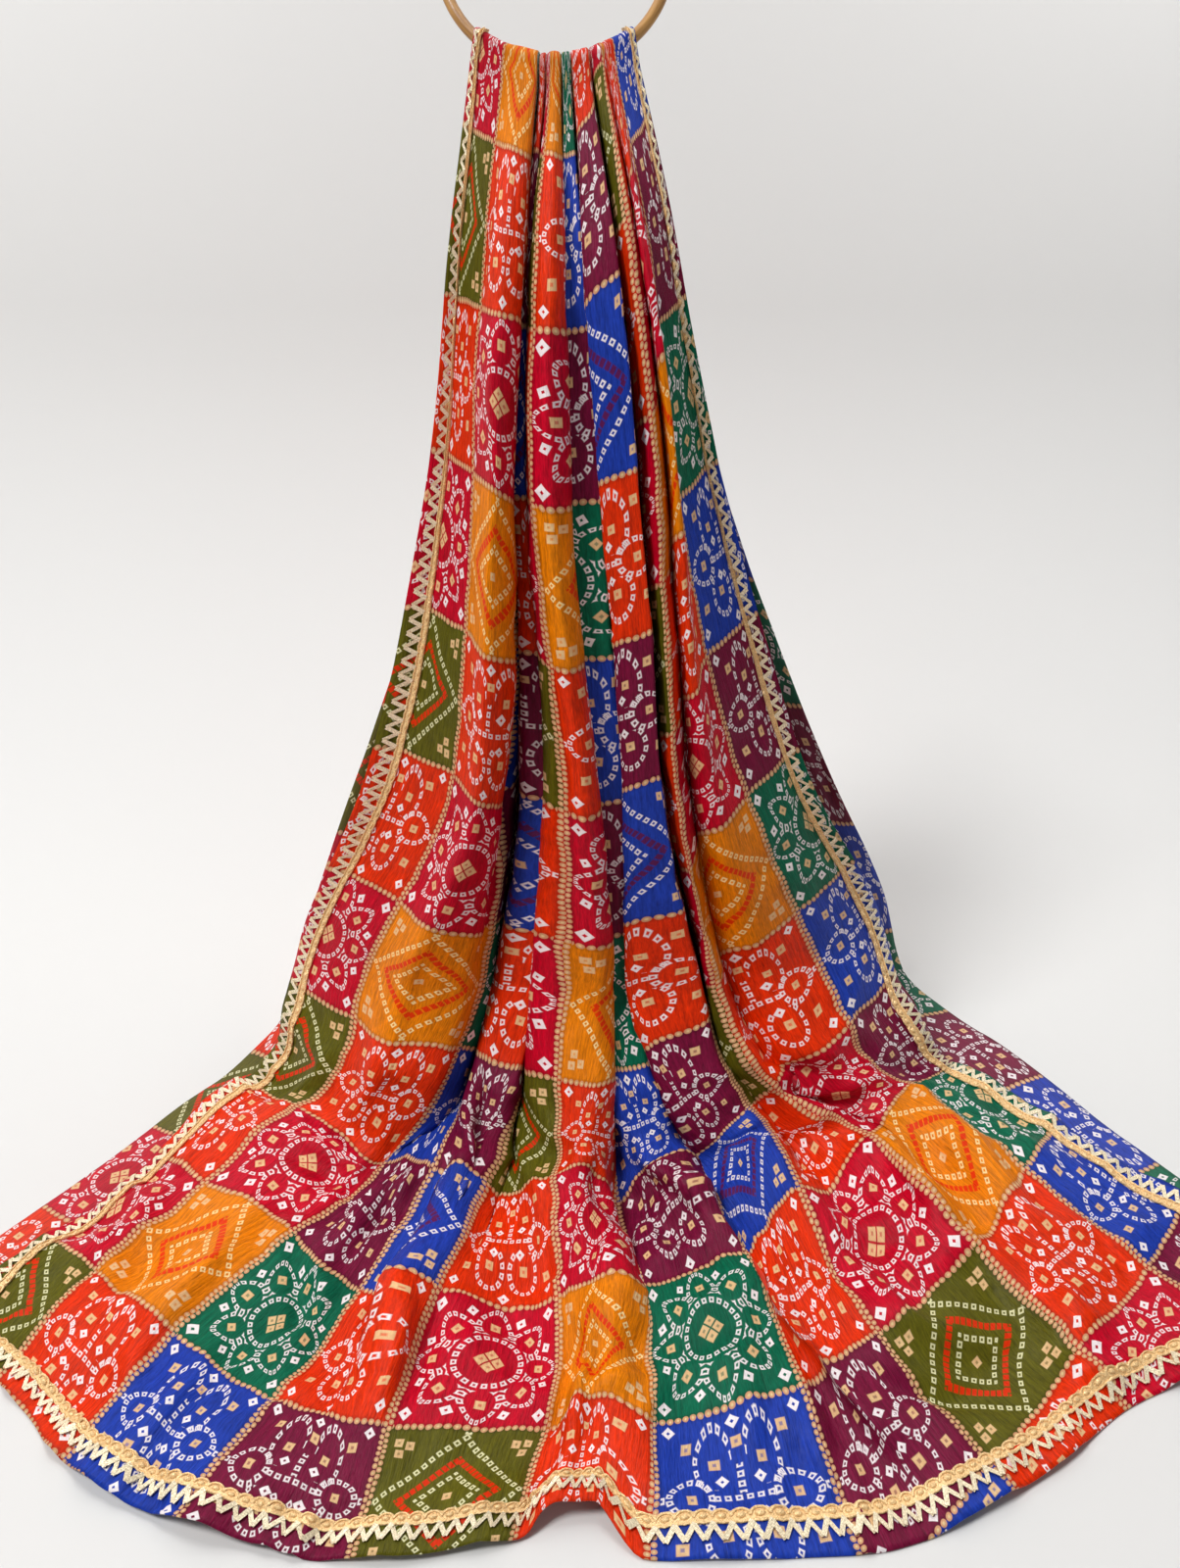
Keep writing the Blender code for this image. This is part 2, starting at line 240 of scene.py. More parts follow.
def smooth(x, xs, ys):
    """Monotone cubic through the rows of a table: flat on each crest and valley."""
    xs = np.asarray(xs, float)
    ys = np.asarray(ys, float)
    x = np.clip(x, xs[0], xs[-1])
    h = np.diff(xs)
    shape = (-1,) + (1,) * (ys.ndim - 1)
    d = np.diff(ys, axis=0) / h.reshape(shape)
    m = np.zeros_like(ys)
    m[0], m[-1] = d[0], d[-1]
    a, b = d[:-1], d[1:]
    w1 = (2 * h[1:] + h[:-1]).reshape(shape)
    w2 = (h[1:] + 2 * h[:-1]).reshape(shape)
    same = a * b > 0
    with np.errstate(divide="ignore", invalid="ignore"):
        m[1:-1] = np.where(same, (w1 + w2) / (w1 / a + w2 / b), 0)
    i = np.clip(np.searchsorted(xs, x, side="right") - 1, 0, len(h) - 1)
    t = (x - xs[i]) / h[i]
    if ys.ndim > 1:
        t = t[..., None]
        hi = h[i][..., None]
    else:
        hi = h[i]
    return (
        (1 + 2 * t) * (1 - t) ** 2 * ys[i]
        + t * (1 - t) ** 2 * hi * m[i]
        + t * t * (3 - 2 * t) * ys[i + 1]
        + t * t * (t - 1) * hi * m[i + 1]
    )


folds, fan, back_fan = table(FOLDS), table(FAN), table(BACK_FAN)
levels, wider, back_gap = table(LEVELS), table(BACK_WIDER), table(BACK_GAP)
creases, ridges = table(CREASES), table(RIDGES)


def ring_rise(x):
    x = np.clip(np.abs(x), 0, RING_MEAN * 0.95)
    return (RING_MEAN - np.sqrt(RING_MEAN**2 - x**2)) * math.cos(RING_LEAN)


def lines_at(front):
    """Control points of every fold at every level: rows, and (levels, folds, 3)."""
    u = folds["across"]
    fore = folds["fore"]
    side = 1.0 if front else -1.0
    rise = ring_rise(folds["ring"] * 0.86e-3)
    rows, points = [], []
    hanging = np.stack([folds[k] for k in ("ring", "chest", "waist", "knee")]) / 1000
    at = np.array([0.30, 2.20, 4.55, 6.10])
    for i, row in enumerate(levels["rows"]):
        x = smooth(np.array([row]), at, hanging)[0]
        depth = levels["depth"][i] / 1000
        lean = math.radians(levels["lean"][i])
        forward = levels["forward"][i] / 1000
        height = levels["height"][i] / 1000
        fade = max(0.0, 1 - row / 4.0) ** 1.5
        if not front:
            x = x * wider["share"][i] + wider["shift"][i] / 1000
            gap = back_gap["gap"][i] / 1000
            forward -= gap * math.cos(lean)
            height -= gap * math.sin(lean)
        y = forward - levels["bow"][i] * x**2 + side * fore * depth * math.cos(lean)
        z = height + rise * fade + side * fore * depth * math.sin(lean)
        if i == 0:
            y = side * WRAP + side * fore * depth + rise * -math.tan(RING_LEAN)
            z = height + rise
        rows.append(row)
        points.append(np.stack([x, y, z], 1))
    lying = fan if front else back_fan
    land, mid, hem = (
        np.stack([smooth(u, lying["across"], lying[f"{k}_{a}"]) for a in "xy"], 1) / 1000
        for k in ("land", "mid", "hem")
    )
    if front:
        lie = [LIE + folds[k] / 1000 for k in ("land", "mid", "hem")]
        lie[2] = CLOTH_THICK / 2 + folds["hem"] / 1000
        edge = np.minimum(u - LEFT, RIGHT - u)
        lie[2] = lie[2] + 0.0052 * np.clip(1 - edge / 0.5, 0, 1)
    else:
        lie = [np.full(len(u), BACK_LIE)] * 3
    knee = points[-1].copy()
    knee[:, :2] += (land - knee[:, :2]) * KNEE_SHARE
    knee[:, 2] = KNEE_HEIGHT + (fore * 0.034 if front else -0.013 - fore * 0.012)
    if front:
        knee[:, 1] += 0.020 * fore
    else:
        knee[:, 1] -= 0.010
    rows += [KNEE_ROWS, LAND_ROWS, MID_ROWS]
    points.append(knee)
    for flat, z in ((land, lie[0]), (mid, lie[1])):
        points.append(np.column_stack([flat, z]))
    if front:
        rows.append(FRONT_ROWS - 0.42)
        part = (rows[-1] - MID_ROWS) / (FRONT_ROWS - MID_ROWS)
        flat = mid + (hem - mid) * part
        points.append(np.column_stack([flat, LIE - 0.0012 + folds["hem"] / 1000]))
    rows.append(FRONT_ROWS if front else BACK_ROWS)
    points.append(np.column_stack([hem, lie[2]]))
    return np.array(rows), np.array(points)


LINES = {True: lines_at(True), False: lines_at(False)}


def draped(u, down):
    """Points of the middle of the cloth in the construction's folds: (rows, columns, 3)."""
    u = np.asarray(u, float)
    fore = smooth(u, folds["across"], folds["fore"])
    x0 = smooth(u, folds["across"], folds["ring"]) * 0.86e-3
    rows_out = []
    for value in down:
        front = value >= 0
        row = abs(value)
        rows, points = LINES[front]
        side = 1.0 if front else -1.0
        if row < QUARTER:
            turn = row / QUARTER * math.pi / 2
            x = x0 * (1 + 0.10 * math.sin(turn))
            r = WRAP + fore * RING_FOLD
            rise = ring_rise(x)
            y = side * r * math.sin(turn) - rise * math.tan(RING_LEAN)
            z = RING_FOOT + r * math.cos(turn) + rise
        elif row < rows[0]:
            part = (row - QUARTER) / (rows[0] - QUARTER)
            rise = ring_rise(x0 * 1.10)
            top = np.stack(
                [x0 * 1.10, side * (WRAP + fore * RING_FOLD) - rise * math.tan(RING_LEAN),
                 RING_FOOT + rise], 1)
            low = smooth(u, folds["across"], points[0])
            x, y, z = (top + (low - top) * part).T
        else:
            here = smooth(np.array([row]), rows, points)[0]
            x, y, z = smooth(u, folds["across"], here).T
        if not front:
            edge = np.minimum(u - LEFT, RIGHT - u) * SQUARE
            near = np.clip((0.034 - edge) / 0.012, 0, 1)
            left = (BACK_ROWS - row) * SQUARE
            near = np.maximum(near, np.clip((0.038 - left) / 0.012, 0, 1))
            low = np.clip((row - MID_ROWS + 2.2) / 0.9, 0, 1)
            z = z + BACK_LACE_LIFT * near * low
        rows_out.append(np.stack([x, -y, z], 1))
    out = np.array(rows_out)
    out[..., 1] -= HOOK_Y
    out[..., 2] -= HOOK_Z
    return out


def normals(points):
    across = np.gradient(points, axis=1)
    along = np.gradient(points, axis=0)
    n = np.cross(along, across)
    return n / np.maximum(np.linalg.norm(n, axis=2, keepdims=True), 1e-12)


def noise(x, y, seed):
    """Smooth noise from -1 to 1, one bump a unit, the same each run."""
    grid = np.random.default_rng(seed).uniform(-1, 1, (61, 67))
    xi, yi = np.floor(x).astype(int), np.floor(y).astype(int)
    fx, fy = x - xi, y - yi
    fx = fx**3 * (fx * (fx * 6 - 15) + 10)
    fy = fy**3 * (fy * (fy * 6 - 15) + 10)

    def at(i, j):
        return grid[(xi + i) % 61, (yi + j) % 67]

    return (at(0, 0) * (1 - fx) + at(1, 0) * fx) * (1 - fy) + (
        at(0, 1) * (1 - fx) + at(1, 1) * fx
    ) * fy


def ease(x, low, high):
    t = np.clip((x - low) / (high - low), 0, 1)
    return t * t * (3 - 2 * t)


def crease(u, q, u0, q0, u1, q1, wide, high):
    """A straight sharp ridge between two points of the cloth, fading at its ends."""
    du, dq = u1 - u0, q1 - q0
    length = math.hypot(du, dq)
    along = ((u - u0) * du + (q - q0) * dq) / length
    away = ((q - q0) * du - (u - u0) * dq) / length
    away = away + 0.035 * noise(along * 2.3, u0 * 7 + q0 + 0 * along, 5)
    ends = ease(along, 0, 0.35 * min(length, 1.5)) * ease(length - along, 0, 0.35 * min(length, 1.5))
    return high * ends * np.exp(-np.abs(away) * SQUARE * 1000 / wide) / 1000


def rounded(u, q, u0, q0, u1, q1, wide, high):
    """A soft fold between two points of the cloth."""
    du, dq = u1 - u0, q1 - q0
    length = math.hypot(du, dq)
    along = ((u - u0) * du + (q - q0) * dq) / length
    away = ((q - q0) * du - (u - u0) * dq) / length
    away = away + 0.06 * noise(along * 1.7 + u0, q0 + 0 * along, 7)
    ends = ease(along, -0.15, 0.4 * length) * ease(length - along, -0.15, 0.4 * length)
    return high * ends * np.exp(-((away * SQUARE * 1000 / wide) ** 2)) / 1000


def hand_ridges(u, q):
    """Height of the rounded folds, and how far they lean over across and up the cloth."""
    out, across_by, up_by = np.zeros_like(u), np.zeros_like(u), np.zeros_like(u)
    for i in range(len(ridges["u0"])):
        u0, q0, u1, q1, wide, high, over = (ridges[k][i] for k in ("u0", "r0", "u1", "r1", "wide", "high", "over"))
        one = rounded(u, q, u0, q0, u1, q1, wide, high)
        out += one
        length = math.hypot(u1 - u0, q1 - q0)
        across_by += one * over / high * (q0 - q1) / length
        up_by += one * over / high * (u1 - u0) / length
    return out, across_by, up_by


def hand_creases(u, q):
    out = np.zeros_like(u)
    for i in range(len(creases["u0"])):
        row = [creases[k][i] for k in ("u0", "r0", "u1", "r1", "wide", "high")]
        out += crease(u, q, *row)
    return out


def pleat_edges(u, hanging):
    """Crests and valleys of the pleats pressed sharper than the plain folds have them."""
    out = np.zeros_like(u)
    at, fore = folds["across"], folds["fore"]
    for i in range(1, len(at) - 1):
        before, here, after = fore[i - 1 : i + 2]
        turn = (here - before) + (here - after)
        high = np.clip(turn, -1.2, 1.2) * (1.5 + 0.6 * math.sin(7.0 * i))
        wide = 4.5 + 1.5 * math.sin(3.0 * i)
        out += high * np.exp(-np.abs(u - at[i]) * SQUARE * 1000 / wide) / 1000
    return out * (0.35 + 0.65 * hanging)


def small_creases(u, q):
    """Short uneven creases, all over the cloth, more of them where it lies."""
    rng = np.random.default_rng(11)
    out = np.zeros_like(u)
    for _ in range(190):
        u0, q0 = rng.uniform(LEFT, RIGHT), rng.uniform(-0.3, 7.5)
        lying = q0 < 3.2
        angle = rng.uniform(-0.5, 0.5) + (math.pi / 2 if rng.uniform() < 0.62 else 0.25)
        length = rng.uniform(0.35, 1.1)
        wide = rng.uniform(4.0, 9.0)
        high = rng.uniform(0.9, 3.2) * (1.7 if lying else 0.6) * rng.choice([-1, 1])
        u1, q1 = u0 + length * math.cos(angle), q0 + length * math.sin(angle)
        near = (np.abs(u - u0) < length + 0.6) & (np.abs(q - q0) < length + 0.6)
        if near.any():
            out[near] += crease(u[near], q[near], u0, q0, u1, q1, wide, high)
    return out


def relief(u, down):
    """How far the crepe stands off the plain folds: (rows, columns), in metres."""
    uu, dd = np.meshgrid(u, down)
    q = FRONT_ROWS - dd
    back = dd < 0
    lying = np.where(back, ease(-dd, 6.4, 7.6), ease(dd, 6.0, 7.4))
    h = 0.0011 * noise(uu * 3.1 + 0.5 * noise(uu, q * 0.7, 3), q * 0.55 + 20, 1)
    h += 0.0006 * noise(uu * 7.3, q * 1.3 + 9, 2)
    h += (0.0010 + 0.0036 * lying) * noise(uu * 1.3 + 3, q * 1.1, 4)
    h += 0.0032 * lying * ease(q, 0.2, 1.0) * np.where(back, 0.0, 1.0)
    ridge = 1 - np.abs(noise(uu * 1.9 + 5 + 0.4 * noise(uu * 2, q * 2, 8), q * 1.5 + 3, 6)) * 2
    h += 0.0036 * lying * ridge
    sharp = 1 - np.abs(noise(uu * 3.1 + 0.8 * noise(uu * 1.5, q * 1.7, 21), q * 2.3 + 11, 22)) * 2
    h += (0.0005 + 0.0019 * lying) * sharp
    h += (hand_creases(uu, q) + hand_ridges(uu, q)[0]) * np.where(back, 0.0, 1.0)
    h += small_creases(uu, np.where(back, 6.5 + dd * 0.62 + 0.1, q))
    h += pleat_edges(uu + 0.05 * noise(uu * 0.9, q * 0.8, 13), 1 - lying)
    fade = ease(np.abs(dd), 0.15, 1.6)
    h = h * fade * np.where(back, 1 - 0.85 * lying, 1.0)
    return h


TURNS = (0.25, 1.45, 2.60, 3.80, 4.25, 5.40, 6.00, 6.75, 7.10, 7.92, 8.40, 9.00, 9.30, 9.62, 10.75)
FULLER = 0.25               # how far the sides of a pleat are pushed out, as a share of its half width


def fuller(u, down, x):
    """Sideways shift that makes each hanging pleat full in front and tight behind."""
    turns = np.array(TURNS)
    ends = draped(turns, down)[..., 0]
    i = np.clip(np.searchsorted(turns, u, side="right") - 1, 0, len(turns) - 2)
    part = (u - turns[i]) / (turns[i + 1] - turns[i])
    half = ends[:, i + 1] - ends[:, i]
    towards = np.where(i % 2 == 1, 1.0, -1.0) * np.where((i == 0) | (i == len(turns) - 2), 0.4, 1.0)
    hang = ease(np.abs(np.asarray(down)), 0.3, 1.4) * (1 - ease(np.abs(np.asarray(down)), 6.2, 7.5))
    return FULLER * half * np.sin(math.pi * part) * towards * hang[:, None]


def deeper(u, down):
    """The crests of the hanging pleats stand further out than the plain folds have them."""
    down = np.asarray(down)
    hang = ease(np.abs(down), 0.5, 2.0) * (1 - ease(np.abs(down), 6.0, 7.2))
    fore = smooth(u, folds["across"], folds["fore"])
    inner = np.clip(np.minimum(u - LEFT, RIGHT - u) / 0.9, 0, 1)
    return np.where(down < 0, 0.0, -0.012)[:, None] * hang[:, None] * (fore * inner)[None, :]


# How far the hanging cloth as shown stands beside its plain folds: to the right,
# mm, so many squares above the front hem, and forward, mm.
NUDGE = """
across 10.3  9.2  8.0  6.7  5.8  4.6  fore
 0.25     0    4    9   12   10    2     9
 0.42     0    8   16   20   17    5     1
 0.62     0    9   17   19   16    4     0
 1.00     0    8   16   14   12    2     0
 1.45     0    5   10    8    5    0     1
 1.86     0    0    0    4   -5   -2     2
 2.20     0    0    0    4    0    0    -4
 2.60     0    0    1    6    8    2     2
 3.10     0    0    1    7   10    3    11
 3.50     0    0    1    7   11    3    11
 3.80     0    0    1    7   11    3     6
 4.25     0    0    0    3    6    1     0
 4.75     0    0    0    0    0    0     0
 9.00     0    0    0    0    0    0     0
 9.30     0   -1   -2   -2   -2   -1    -1
 9.62     0   -2   -6   -7   -6   -2     2
 9.85     0   -3  -12  -13  -10   -3    -3
10.10     0   -4  -14  -14  -11   -3     0
10.38     0   -4  -12   -9   -6   -2     2
10.58     0   -4  -11   -7   -6   -3     1
10.75     0   -2   -6   -1    0    0     8
"""
nudges = table(NUDGE)


def nudge(u, down):
    """Shift to the right and to the front, in metres, both (rows, columns)."""
    q = FRONT_ROWS - np.abs(down)
    knots = (4.0, 4.6, 5.8, 6.7, 8.0, 9.2, 10.3)
    by_knot = [np.zeros(len(u))] + [np.interp(u, nudges["across"], nudges[k])
                                    for k in ("4.6", "5.8", "6.7", "8.0", "9.2", "10.3")]
    right = np.array([np.interp(q, knots, column) for column in np.array(by_knot).T]).T
    behind = np.where(down < 0, 1 - 0.75 * ease(-down, 3.6, 5.4), 1.0)[:, None]
    hang = ease(q, 4.2, 5.6) * (1 - ease(q, 8.8, 10.2))
    front = hang[:, None] * np.interp(u, nudges["across"], nudges["fore"])[None, :]
    return right * behind / 1000, np.where(down < 0, 0.0, 1.0)[:, None] * front / 1000


def surface(u, down):
    """The crepe's middle with all its creases, and its outer normals."""
    points = draped(u, down)
    points[..., 0] += fuller(u, down, points[..., 0])
    points[..., 1] += deeper(u, down)
    right, forward = nudge(np.asarray(u), np.asarray(down))
    points[..., 0] += right
    points[..., 1] -= forward
    out = normals(points)
    uu, dd = np.meshgrid(u, down)
    _, across_by, up_by = hand_ridges(uu, FRONT_ROWS - dd)
    ahead = np.gradient(points, axis=1)
    ahead /= np.maximum(np.linalg.norm(ahead, axis=2, keepdims=True), 1e-12)
    upward = -np.gradient(points, axis=0)
    upward /= np.maximum(np.linalg.norm(upward, axis=2, keepdims=True), 1e-12)
    front_only = np.where(dd < 0, 0.0, 1.0)
    points = points + out * relief(u, down)[..., None]
    points = points + (ahead * across_by[..., None] + upward * up_by[..., None]) * front_only[..., None]
    sway = ease(np.abs(dd), 0.5, 2.5) * np.where(dd < 0, 0.5, 1.0)
    points[..., 0] += 0.0022 * sway * noise(uu * 1.1 + 8, dd * 0.85 + 30, 17)
    points[..., 1] += 0.0016 * sway * (1 - ease(np.abs(dd), 6.5, 7.5)) * noise(uu * 1.4 + 2, dd * 0.9 + 30, 19)
    # lying cloth stays clear of what is under it
    dd = np.asarray(down)[:, None]
    floor = -HOOK_Z + np.where(dd < 0, SHEET / 2, np.where(dd < FRONT_ROWS - 0.42, 0.0040, 0.0005))
    near = np.clip((dd - (FRONT_ROWS - 0.42)) / 0.42, 0, 1)
    floor = np.where(dd >= FRONT_ROWS - 0.42, -HOOK_Z + 0.0040 - 0.0034 * near, floor)
    points[..., 2] = np.maximum(points[..., 2], floor)
    return points, normals(points)


# ---- print: the flat place of each point --------------------------------------
SKEW = """
across rise
 0.25  0.00
 2.00  0.00
 4.00  0.15
 6.00  0.20
 7.00  0.15
 8.00 -0.20
 9.00 -0.45
10.00 -0.85
10.75 -0.92
"""
# the same, for the hanging part alone
SAG = """
across rise
 0.25 -0.10
 1.00  0.00
 1.95  0.17
 2.60  0.05
 4.00  0.00
 7.00 -0.02
 8.00  0.15
 9.00  0.10
10.00  0.03
10.75 -0.12
"""
# The front of each hanging pleat shows a slice of the print at nearly its own
# size, and the rest of the square is tucked into the valley beside it.
# across: place on the sheet; shown: the print's place there.
SLICES = """
across shown
 0.25  0.25
 1.00  1.00
 1.18  1.22
 1.50  1.50
 1.80  1.68
 2.10  2.00
 2.60  2.50
 3.00  3.00
 3.22  3.40
 3.50  3.50
 3.75  3.59
 3.92  3.90
 4.10  4.10
 4.65  4.78
 5.03  5.00
 5.40  5.14
 5.72  5.30
 5.90  5.72
 6.05  6.10
 6.45  6.62
 6.75  6.78
 6.98  6.92
 7.10  7.10
 7.38  7.52
 7.70  7.71
 7.95  7.86
 8.15  8.15
 8.70  8.78
 9.00  9.00
 9.20  9.14
 9.40  9.40
 9.62  9.62
10.00 10.00
10.75 10.75
"""
skew, sag, slices = table(SKEW), table(SAG), table(SLICES)


def flat_place(u, down):
    uu, dd = np.meshgrid(u, down)
    q = FRONT_ROWS - dd
    r = q + np.interp(uu, skew["across"], skew["rise"])
    hangs = ease(q, 3.2, 5.0) * (1 - 0.6 * ease(q, 8.0, 9.3))
    r = r + hangs * np.interp(uu, sag["across"], sag["rise"])
    r = r + 0.13 * ease(q, 8.3, 9.6) * (1 - ease(uu, 1.8, 3.0))
    shown = np.broadcast_to(smooth(np.asarray(u), slices["across"], slices["shown"])[None, :], uu.shape)
    return uu + (shown - uu) * ease(q, 3.3, 4.9) * np.where(dd < 0, 0.0, 1.0) * ease(dd, 0.0, 0.5), r


# ---- mesh making ----------------------------------------------------------------
def grid_mesh(name, points, maps):
    """A grid with its points laid on the surface. maps: the flat place of each point."""
    rows, columns = points.shape[:2]
    bpy.ops.mesh.primitive_grid_add(x_subdivisions=columns - 1, y_subdivisions=rows - 1, size=1)
    obj = bpy.context.object
    obj.name = obj.data.name = name
    me = obj.data
    me.vertices.foreach_set("co", points.reshape(-1).astype(np.float32))
    corner = np.empty(len(me.loops), np.int32)
    me.loops.foreach_get("vertex_index", corner)
    flat = np.stack([m.reshape(-1) for m in maps], 1)
    layer = me.uv_layers.active or me.uv_layers.new(name="print")
    layer.name = "print"
    layer.uv.foreach_set("vector", flat[corner].astype(np.float32).reshape(-1))
    me.update()
    me.shade_smooth()
    return obj


def mesh_of(name, points, faces, maps=None):
    me = bpy.data.meshes.new(name)
    me.from_pydata(points.tolist(), [], faces.tolist() if hasattr(faces, "tolist") else faces)
    if maps is not None:
        corner = np.empty(len(me.loops), np.int32)
        me.loops.foreach_get("vertex_index", corner)
        me.uv_layers.new(name="print").uv.foreach_set(
            "vector", np.asarray(maps)[corner].astype(np.float32).reshape(-1))
    me.update()
    me.shade_smooth()
    obj = bpy.data.objects.new(name, me)
    scene.collection.objects.link(obj)
    return obj


# ---- node helper ------------------------------------------------------------------
def linear(r, g, b):
    def one(c):
        c /= 255
        return c / 12.92 if c <= 0.04045 else ((c + 0.055) / 1.055) ** 2.4

    return (one(r), one(g), one(b), 1.0)


class Val:
    """A number that a node tree works out."""

    tree = None

    def __init__(self, socket):
        self.socket = socket

    def __add__(self, other):
        return m("ADD", self, other)

    __radd__ = __add__

    def __sub__(self, other):
        return m("SUBTRACT", self, other)

    def __rsub__(self, other):
        return m("SUBTRACT", other, self)

    def __mul__(self, other):
        return m("MULTIPLY", self, other)

    __rmul__ = __mul__

    def __truediv__(self, other):
        return m("DIVIDE", self, other)


def m(operation, *values, clamp=False):
    node = Val.tree.nodes.new("ShaderNodeMath")
    node.operation = operation
    node.use_clamp = clamp
    for i, value in enumerate(values):
        if isinstance(value, Val):
            Val.tree.links.new(value.socket, node.inputs[i])
        else:
            node.inputs[i].default_value = value
    return Val(node.outputs[0])


def cover(distance, soft=0.006):
    """1 inside, 0 outside, with a soft edge."""
    return m("MULTIPLY_ADD", distance, -1 / soft, 0.5, clamp=True)


def mabs(a):
    return m("ABSOLUTE", a)


def mmax(a, *rest):
    for b in rest:
        a = m("MAXIMUM", a, b)
    return a


def fract(a):
    return m("FRACT", a)


def square_dot(dx, dy, half, hole):
    """A tied dot: a pale square with the dyed cloth showing in its middle."""
    far = mmax(mabs(dx), mabs(dy))
    return cover(far - half) , cover(far - hole)


def ring_of(pair):
    outer, inner = pair
    return outer * (1 - inner)


def dotted(away, along, pitch, half=0.0167, hole=0.0075):
    """A row of tied dots: away from the line, and along it."""
    step = (fract(along / pitch) - 0.5) * pitch
    return ring_of(square_dot(away, step, half, hole))


def loop(x, y, cx, cy, tilt, a, b, count):
    """Dots round an oval."""
    c, s = math.cos(tilt), math.sin(tilt)
    dx, dy = x - cx, y - cy
    ex = (dx * c + dy * s) / a
    ey = (dy * c - dx * s) / b
    rho = m("SQRT", ex * ex + ey * ey)
    mean = (a + b) / 2
    turn = m("ARCTAN2", ey, ex) * (count / (2 * math.pi))
    step = (fract(turn) - 0.5) * (2 * math.pi * mean / count)
    return ring_of(square_dot((rho - 1) * mean, step, 0.0167, 0.0075))


def mix(factor, a, b):
    node = Val.tree.nodes.new("ShaderNodeMix")
    node.data_type = "RGBA"
    for socket, value in ((node.inputs["Factor"], factor), (node.inputs[6], a), (node.inputs[7], b)):
        if isinstance(value, Val):
            Val.tree.links.new(value.socket, socket)
        else:
            socket.default_value = value
    return Val(node.outputs[2])


def scaled(colour, factor):
    node = Val.tree.nodes.new("ShaderNodeVectorMath")
    node.operation = "SCALE"
    Val.tree.links.new(colour.socket, node.inputs[0])
    if isinstance(factor, Val):
        Val.tree.links.new(factor.socket, node.inputs["Scale"])
    else:
        node.inputs["Scale"].default_value = factor
    return Val(node.outputs[0])


def texture_noise(vector, scale, detail=2.0, rough=0.5):
    node = Val.tree.nodes.new("ShaderNodeTexNoise")
    node.inputs["Scale"].default_value = scale
    node.inputs["Detail"].default_value = detail
    node.inputs["Roughness"].default_value = rough
    Val.tree.links.new(vector.socket, node.inputs["Vector"])
    return Val(node.outputs["Fac"])


def vector(x, y, z=0.0):
    node = Val.tree.nodes.new("ShaderNodeCombineXYZ")
    for socket, value in zip(node.inputs, (x, y, z)):
        if isinstance(value, Val):
            Val.tree.links.new(value.socket, socket)
        else:
            socket.default_value = value
    return Val(node.outputs[0])


def steps(index, colours):
    """One colour for each whole number."""
    node = Val.tree.nodes.new("ShaderNodeValToRGB")
    ramp = node.color_ramp
    ramp.interpolation = "CONSTANT"
    while len(ramp.elements) < len(colours):
        ramp.elements.new(0.5)
    for i, colour in enumerate(colours):
        ramp.elements[i].position = i / len(colours)
    for element, colour in zip(ramp.elements, colours):
        element.color = colour
    Val.tree.links.new(((index + 0.5) / len(colours)).socket, node.inputs["Fac"])
    return Val(node.outputs["Color"])


def parts_of(colour):
    node = Val.tree.nodes.new("ShaderNodeSeparateColor")
    Val.tree.links.new(colour.socket, node.inputs[0])
    return [Val(node.outputs[i]) for i in range(3)]


def start_material(name):
    material = bpy.data.materials.new(name)
    material.use_nodes = True
    Val.tree = material.node_tree
    return material, material.node_tree.nodes["Principled BSDF"]


def print_place():
    node = Val.tree.nodes.new("ShaderNodeUVMap")
    node.uv_map = "print"
    split = Val.tree.nodes.new("ShaderNodeSeparateXYZ")
    Val.tree.links.new(node.outputs[0], split.inputs[0])
    return Val(split.outputs[0]), Val(split.outputs[1])


def bump(shader, height, distance, strength=1.0):
    node = Val.tree.nodes.new("ShaderNodeBump")
    node.inputs["Distance"].default_value = distance
    node.inputs["Strength"].default_value = strength
    Val.tree.links.new(height.socket, node.inputs["Height"])
    Val.tree.links.new(node.outputs[0], shader.inputs["Normal"])


# ---- the crepe -------------------------------------------------------------------------
RED, ORANGE, YELLOW = linear(204, 0, 38), linear(234, 50, 0), linear(240, 132, 0)
GREEN, BLUE = linear(0, 104, 74), linear(30, 62, 172)
WINE, OLIVE = linear(122, 14, 56), linear(96, 92, 16)
WHITE, CREAM, PALE = linear(250, 240, 240), linear(252, 226, 160), linear(238, 234, 184)
TAN, PEACH, GOLD = linear(222, 165, 118), linear(228, 168, 124), linear(244, 214, 156)
BRICK, PLUM = linear(222, 40, 0), linear(92, 20, 70)
NONE, FLOWER, DIAMOND, LEAF = (0, 0, 0, 1), (1, 0, 0, 1), (0, 1, 0, 1), (0, 0, 1, 1)
# the repeat: four squares across, three squares up
REPEAT = [
    (OLIVE, DIAMOND, PALE, BRICK), (ORANGE, LEAF, WHITE, RED), (BLUE, LEAF, WHITE, PLUM), (WINE, LEAF, WHITE, RED),
    (RED, FLOWER, WHITE, RED), (YELLOW, DIAMOND, CREAM, BRICK), (GREEN, FLOWER, WHITE, RED), (ORANGE, LEAF, WHITE, RED),
    (ORANGE, LEAF, WHITE, RED), (RED, FLOWER, WHITE, RED), (WINE, LEAF, WHITE, RED), (BLUE, DIAMOND, WHITE, PLUM),
]


